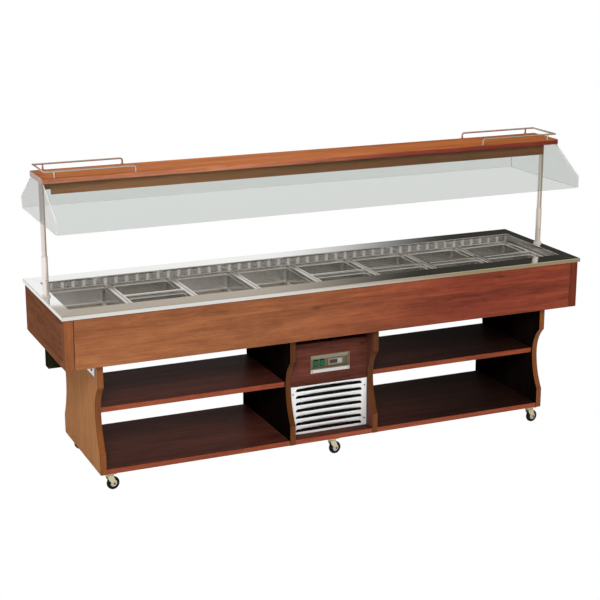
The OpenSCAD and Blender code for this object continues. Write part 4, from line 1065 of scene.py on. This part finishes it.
# ---- Lamp gear box ----
# Black steel box under the left end of the tank, with a lipped cover held by four screws.
gear_low, gear_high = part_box("lamp_gear_box")
gear = Form().block((gear_low.x + 0.001, gear_low.y + 0.003, gear_low.z),
                    gear_high - Vector((0.001, 0.001, 0)), 0.001)
gear.block(gear_low + Vector((0, 0, 0.002)),
           (gear_high.x, gear_low.y + 0.014, gear_high.z - 0.002), 0.0015)
gear_black = coated("gear_black", (0.02, 0.018, 0.01), 0.6, Specular_IOR_Level=0.0)
gear.piece("gear_box", gear_black, slot="black_shell", stands_for="lamp_gear_box")
set_out("gear_screws", screw_head(0.003, 0.0016, 0.0005),
        [((x, gear_low.y, z), (0, -1, 0)) for x in (gear_low.x + 0.008, gear_high.x - 0.008)
         for z in (gear_low.z + 0.01, gear_high.z - 0.01)], [slot_dark, slot_dark])


# ---- Posts ----
# Satin stainless tube let into a thicker sleeve with a turned foot flange.
post_steel = steel("post_steel", (0.76, 0.7, 0.66), (0.93, 0.87, 0.83), 0.36, upright=True)
sleeve_steel = steel("sleeve_steel", (0.88, 0.83, 0.78), (1.0, 0.95, 0.9), 0.42, metallic=0.75,
                     upright=True)
sleeve_low, sleeve_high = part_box("post_sleeves")
tube_low, tube_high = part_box("post_tubes")
TUBE_R, TUBE_BORE = 0.0125, 0.011
post_x, tube_len = tube_high.x - TUBE_R, tube_high.z - tube_low.z
sleeve_len, plug_z = sleeve_high.z - sleeve_low.z, tube_low.z - sleeve_low.z
sleeve = [(0.001, 0), (0.021, 0), (0.021, 0.0055), (0.0195, 0.0075), (0.0162, 0.008),
          (0.015, 0.0095), (0.015, sleeve_len - 0.0014), (0.0142, sleeve_len),
          (0.01255, sleeve_len), (0.01255, plug_z), (0.001, plug_z)]
sleeves, tubes = Form(), Form()
for side in SIDES:
    sleeves.turned(sleeve, (side * post_x, 0, sleeve_low.z), sides=40)
    tubes.turned([(TUBE_BORE, 0), (TUBE_R, 0), (TUBE_R, tube_len), (TUBE_BORE, tube_len)],
                 (side * post_x, 0, tube_low.z), sides=40, bored=True)
sleeves.piece("sleeves_turned", sleeve_steel, slot="post_steel", stands_for="post_sleeves")
tubes.piece("tubes_drawn", post_steel, slot="post_steel", stands_for="post_tubes")
grub = [(0.0026, -0.001), (0.0026, 0.0004), (0.0012, 0.0005), (0.0012, -0.0006)]
set_out("sleeve_screws", Form().turned(grub, (0, 0, 0), sides=16),
        [((side * post_x, -0.015, 0.996), (0, -1, 0)) for side in SIDES], SCREW)


# ---- Overshelf ----
# Orange-brown board with round long edges over two fascias, and two lamps between them.
top_wood = timber("top_wood", ((0.21, 0.053, 0.01), (0.35, 0.1, 0.02), (0.46, 0.16, 0.036)),
                  ((0.2, 0.045, 0.014), (0.35, 0.1, 0.028), (0.48, 0.17, 0.045)),
                  rough=0.4, gloss=0.02, coat=0.0)
# the board's edges and the fascias darken toward the right-hand end: painted shade
edge_wood = timber("edge_wood", ((0.22, 0.07, 0.034), (0.39, 0.135, 0.066), (0.54, 0.22, 0.12)),
                   ((0.08, 0.01, 0.007), (0.165, 0.024, 0.016), (0.26, 0.047, 0.026)),
                   reach=(-0.6, 0.7), rough=0.2, gloss=0.3, coat=0.3)
fascia_wood = timber("fascia_wood", ((0.17, 0.054, 0.026), (0.33, 0.1, 0.048), (0.47, 0.155, 0.08)),
                     ((0.12, 0.022, 0.012), (0.22, 0.04, 0.022), (0.32, 0.062, 0.035)),
                     reach=(-1.0, 0.6))
eased("overshelf_board", [top_wood, edge_wood], 0.0012, slot="top_wood",
      choose=lambda normal, middle: normal.z < 0.5)
eased("fascias", fascia_wood, 0.0012, slot="fascia_wood")
lamp_white = coated("lamp_white", (0.8, 0.8, 0.78), 0.35)
cap_metal = steel("cap_metal", (0.5, 0.5, 0.5), (0.66, 0.66, 0.66), 0.3)
frosted = coated("frosted_tube", (0.84, 0.86, 0.86), 0.25, Emission_Color=(1.0, 0.98, 0.93, 1),
                 Emission_Strength=0.12)
HOLDER, CAP = 0.008, 0.014
lamp_low, lamp_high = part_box("lamp_fittings")
lamp_z = lamp_low.z + 0.013
lamps = Form()
for side in SIDES:
    left, right = sorted((side * 0.05, side * lamp_high.x))
    lamps.paint(0).block((left, lamp_low.y, lamp_high.z - 0.024),
                         (right, lamp_high.y, lamp_high.z), 0.002)
    for x in (left, right - HOLDER):
        lamps.block((x, -0.013, lamp_low.z), (x + HOLDER, 0.013, lamp_high.z - 0.0235), 0.0015)
    lamps.paint(1)
    for x in (left + HOLDER, right - HOLDER - CAP):
        lamps.turned([(0.0125, 0), (0.013, 0.0006), (0.013, 0.0134), (0.0125, CAP)],
                     (x, 0, lamp_z), (1, 0, 0), 24)
    bulb = right - left - 2 * (HOLDER + CAP)
    lamps.paint(2).turned([(0.0125, 0), (0.0125, bulb)], (left + HOLDER + CAP, 0, lamp_z),
                          (1, 0, 0), 24)
lamps.piece("lamps", [lamp_white, cap_metal, frosted], slot="lamp_white",
            stands_for="lamp_fittings")


# ---- Canopy glass ----
# Clear glass with a faint green-grey tint and polished edges, which are painted near white as a
# painted highlight. The panes take copies of one glass, each tinted for the light it is seen in:
# painted light. The back pane and the right end pane are the clearest.
def glass(name, alpha, low, high):
    pane = Finish(name, Alpha=alpha, Roughness=0.04, Specular_IOR_Level=0.08)
    x, y, z = pane.place()
    return pane.feed("Base Color", pane.mix(pane.cloud(x * 0.7, y * 2, z * 3), low, high))


side_glass = glass("canopy_glass", 0.2, (0.03, 0.075, 0.03), (0.055, 0.11, 0.05))
back_glass = glass("back_glass", 0.08, (0.14, 0.17, 0.13), (0.19, 0.22, 0.18))
end_glass = glass("end_glass", 0.24, (0.14, 0.18, 0.14), (0.2, 0.24, 0.2))
# near-white edges: a painted highlight
glass_edge = Finish("glass_edge", Alpha=0.95, Roughness=0.15, Base_Color=(0.97, 0.98, 0.97, 1))
eased("glass_sides", [side_glass, glass_edge, back_glass], 0.0005, slot="canopy_glass", steps=1,
      choose=lambda normal, middle: 1 if abs(normal.x) > 0.5 or normal.z < -0.9
      else 2 * (middle.y > 0))
eased("glass_ends", [end_glass, glass_edge, back_glass], 0.0005, slot="canopy_glass", steps=1,
      choose=lambda normal, middle: 1 if abs(normal.x) < 0.5 else 2 * (middle.x > 0))


# ---- Gallery rails ----
# Chromed rod bent up from the board at its inner ends, mitred at its outer corners, with a
# turned foot under each upright.
ROD_R = 0.0046
rail_low, rail_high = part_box("gallery_rails")
rail_y, rail_z, board_z = 0.11, rail_high.z - 0.004, rail_low.z
rail_foot = [(0.0045, 0), (0.009, 0), (0.009, 0.0018), (0.0075, 0.003), (0.0045, 0.0036)]
chrome = steel("rail_chrome", (0.56, 0.5, 0.47), (0.76, 0.7, 0.66), 0.1, spread=0.04)
rails = Form()
for side in SIDES:
    inner, foot_x, outer = side * 0.944, side * 1.337, side * (rail_high.x - 0.004)
    bends = soft([(inner, -rail_y, board_z), (inner, -rail_y, rail_z),
                  (outer, -rail_y, rail_z)], 0.014)
    rails.tube(bends + [Vector((p.x, -p.y, p.z)) for p in reversed(bends)], ROD_R, 16)
    for y in (-rail_y, rail_y):
        rails.tube([(foot_x, y, board_z), (foot_x, y, rail_z)], ROD_R, 16)
        for x in (inner, foot_x):
            rails.turned(rail_foot, (x, y, board_z), sides=24)
rails.piece("rails_bent", chrome, slot="rail_chrome", stands_for="gallery_rails")


# ---- Castors ----
# Yellow-plated swivel castors: bolted plate with a ball race, pressed fork with a domed top
# and a boss at the axle, and a black tyre on a pale hub.
def both_ways(half, *middle):
    """A profile whose far half mirrors the near one."""
    return [*half, *middle, *((r, -h) for r, h in reversed(half))]


PLATE_HALF, PLATE_Z, AXLE_Z, BOSS_R = 0.03, 0.088, 0.0325, 0.0118
TRAIL, TURN = 0.018, math.radians(10)
AXLE = (TRAIL, 0, AXLE_Z)
zinc = coated("castor_zinc", (0.6, 0.53, 0.36), 0.36, metallic=0.55)
bolt_red = coated("bolt_red", (0.2, 0.07, 0.05), 0.4, metallic=0.5)
tyre = coated("tyre_black", (0.005, 0.005, 0.005), 0.6, Specular_IOR_Level=0.12)
hub_pale = coated("hub_pale", (0.5, 0.5, 0.47), 0.45)
race = [(0.0052, 0.08), (0.0185, 0.08), (0.0215, 0.081), (0.022, 0.0825), (0.022, 0.0862),
        (0.0205, PLATE_Z), (0.0052, PLATE_Z)]
crown = [(0.005, 0.0722), (0.015, 0.0726), (0.0205, 0.0742), (0.0222, 0.077), (0.0218, 0.0788),
         (0.019, 0.0795), (0.005, 0.0795), (0.005, 0.0876), (0.001, 0.0876)]
cheek = [(-0.0155, 0.077), (-0.015, 0.068), (-0.0085, 0.052), (0.0045, 0.039)]
cheek += arc((TRAIL, AXLE_Z), BOSS_R, 165, 375, 10)
cheek += [(0.0275, 0.043), (0.0225, 0.056), (0.0165, 0.069), (0.0155, 0.077)]
cheek_x, cheek_z = 0.008, 0.052
boss = [(0.009, 0.0148), (0.0082, 0.0162), (0.004, 0.0164)]
nut = [(0.006, 0.0162), (0.006, 0.0186), (0.005, 0.0194), (0.001, 0.0196)]
hub = both_ways([(0.0042, -0.012), (0.0078, -0.012), (0.0088, -0.0105), (0.0172, -0.0094)])
tread = both_ways([(0.0171, -0.0098), (0.0185, -0.0108), (0.0265, -0.0109), (0.03, -0.0092),
                   (0.0321, -0.0052)], (0.0325, 0))
plates, bolts = Form(), []
for number in range(1, 7):
    wheel_low, wheel_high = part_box("castor_wheel_%d" % number)
    centre = (wheel_low + wheel_high) / 2
    axis = Vector((centre.x - TRAIL * math.cos(TURN), centre.y - TRAIL * math.sin(TURN), 0))
    plates.block(axis + Vector((-PLATE_HALF, -PLATE_HALF, PLATE_Z)),
                 axis + Vector((PLATE_HALF, PLATE_HALF, PLATE_Z + 0.003)), 0.0008, 1)
    plates.turned(race, axis, sides=36, bored=True)
    bolts += [(axis + Vector((sx * 0.0235, sy * 0.0235, PLATE_Z)), (0, 0, -1))
              for sx, sy in CORNERS]
    fork = Form().turned(crown, (0, 0, 0), sides=36)
    for side in SIDES:
        fork.loft([[Vector((cheek_x + (x - cheek_x) * grow, side * y,
                            cheek_z + (z - cheek_z) * grow)) for x, z in cheek]
                   for y, grow in ((0.0125, 1), (0.0144, 1), (0.015, 0.975))])
        fork.turned(boss, AXLE, (0, side, 0), 24)
        fork.paint(1).turned(nut, AXLE, (0, side, 0), 6).paint(0)
    fork.turned([(0.004, -0.0126), (0.004, 0.0126)], AXLE, ALONG_Y, 20)
    stand = Matrix.Translation(axis) @ Matrix.Rotation(TURN, 4, "Z")
    fork.move(stand).piece("castor_%d_fork" % number, [zinc, bolt_red], slot="castor_zinc",
                           body="castor_fork_%d" % number, stands_for="castor_fork_%d" % number)
    wheel = Form().turned(hub, AXLE, ALONG_Y, 36, True)
    wheel.paint(1).turned(tread, AXLE, ALONG_Y, 48, True)
    wheel.move(stand).piece("castor_%d_wheel" % number, [hub_pale, tyre], slot="tyre_black",
                            body="castor_wheel_%d" % number, stands_for="castor_wheel_%d" % number)
plates.piece("castor_plates_pressed", zinc, slot="castor_zinc", stands_for="castor_plates")
bolt_head = Form().turned([(0.004, 0), (0.004, 0.0026), (0.0034, 0.003), (0.001, 0.003)],
                          (0, 0, 0), sides=6)
set_out("castor_bolts", bolt_head, bolts, [screw_zinc])
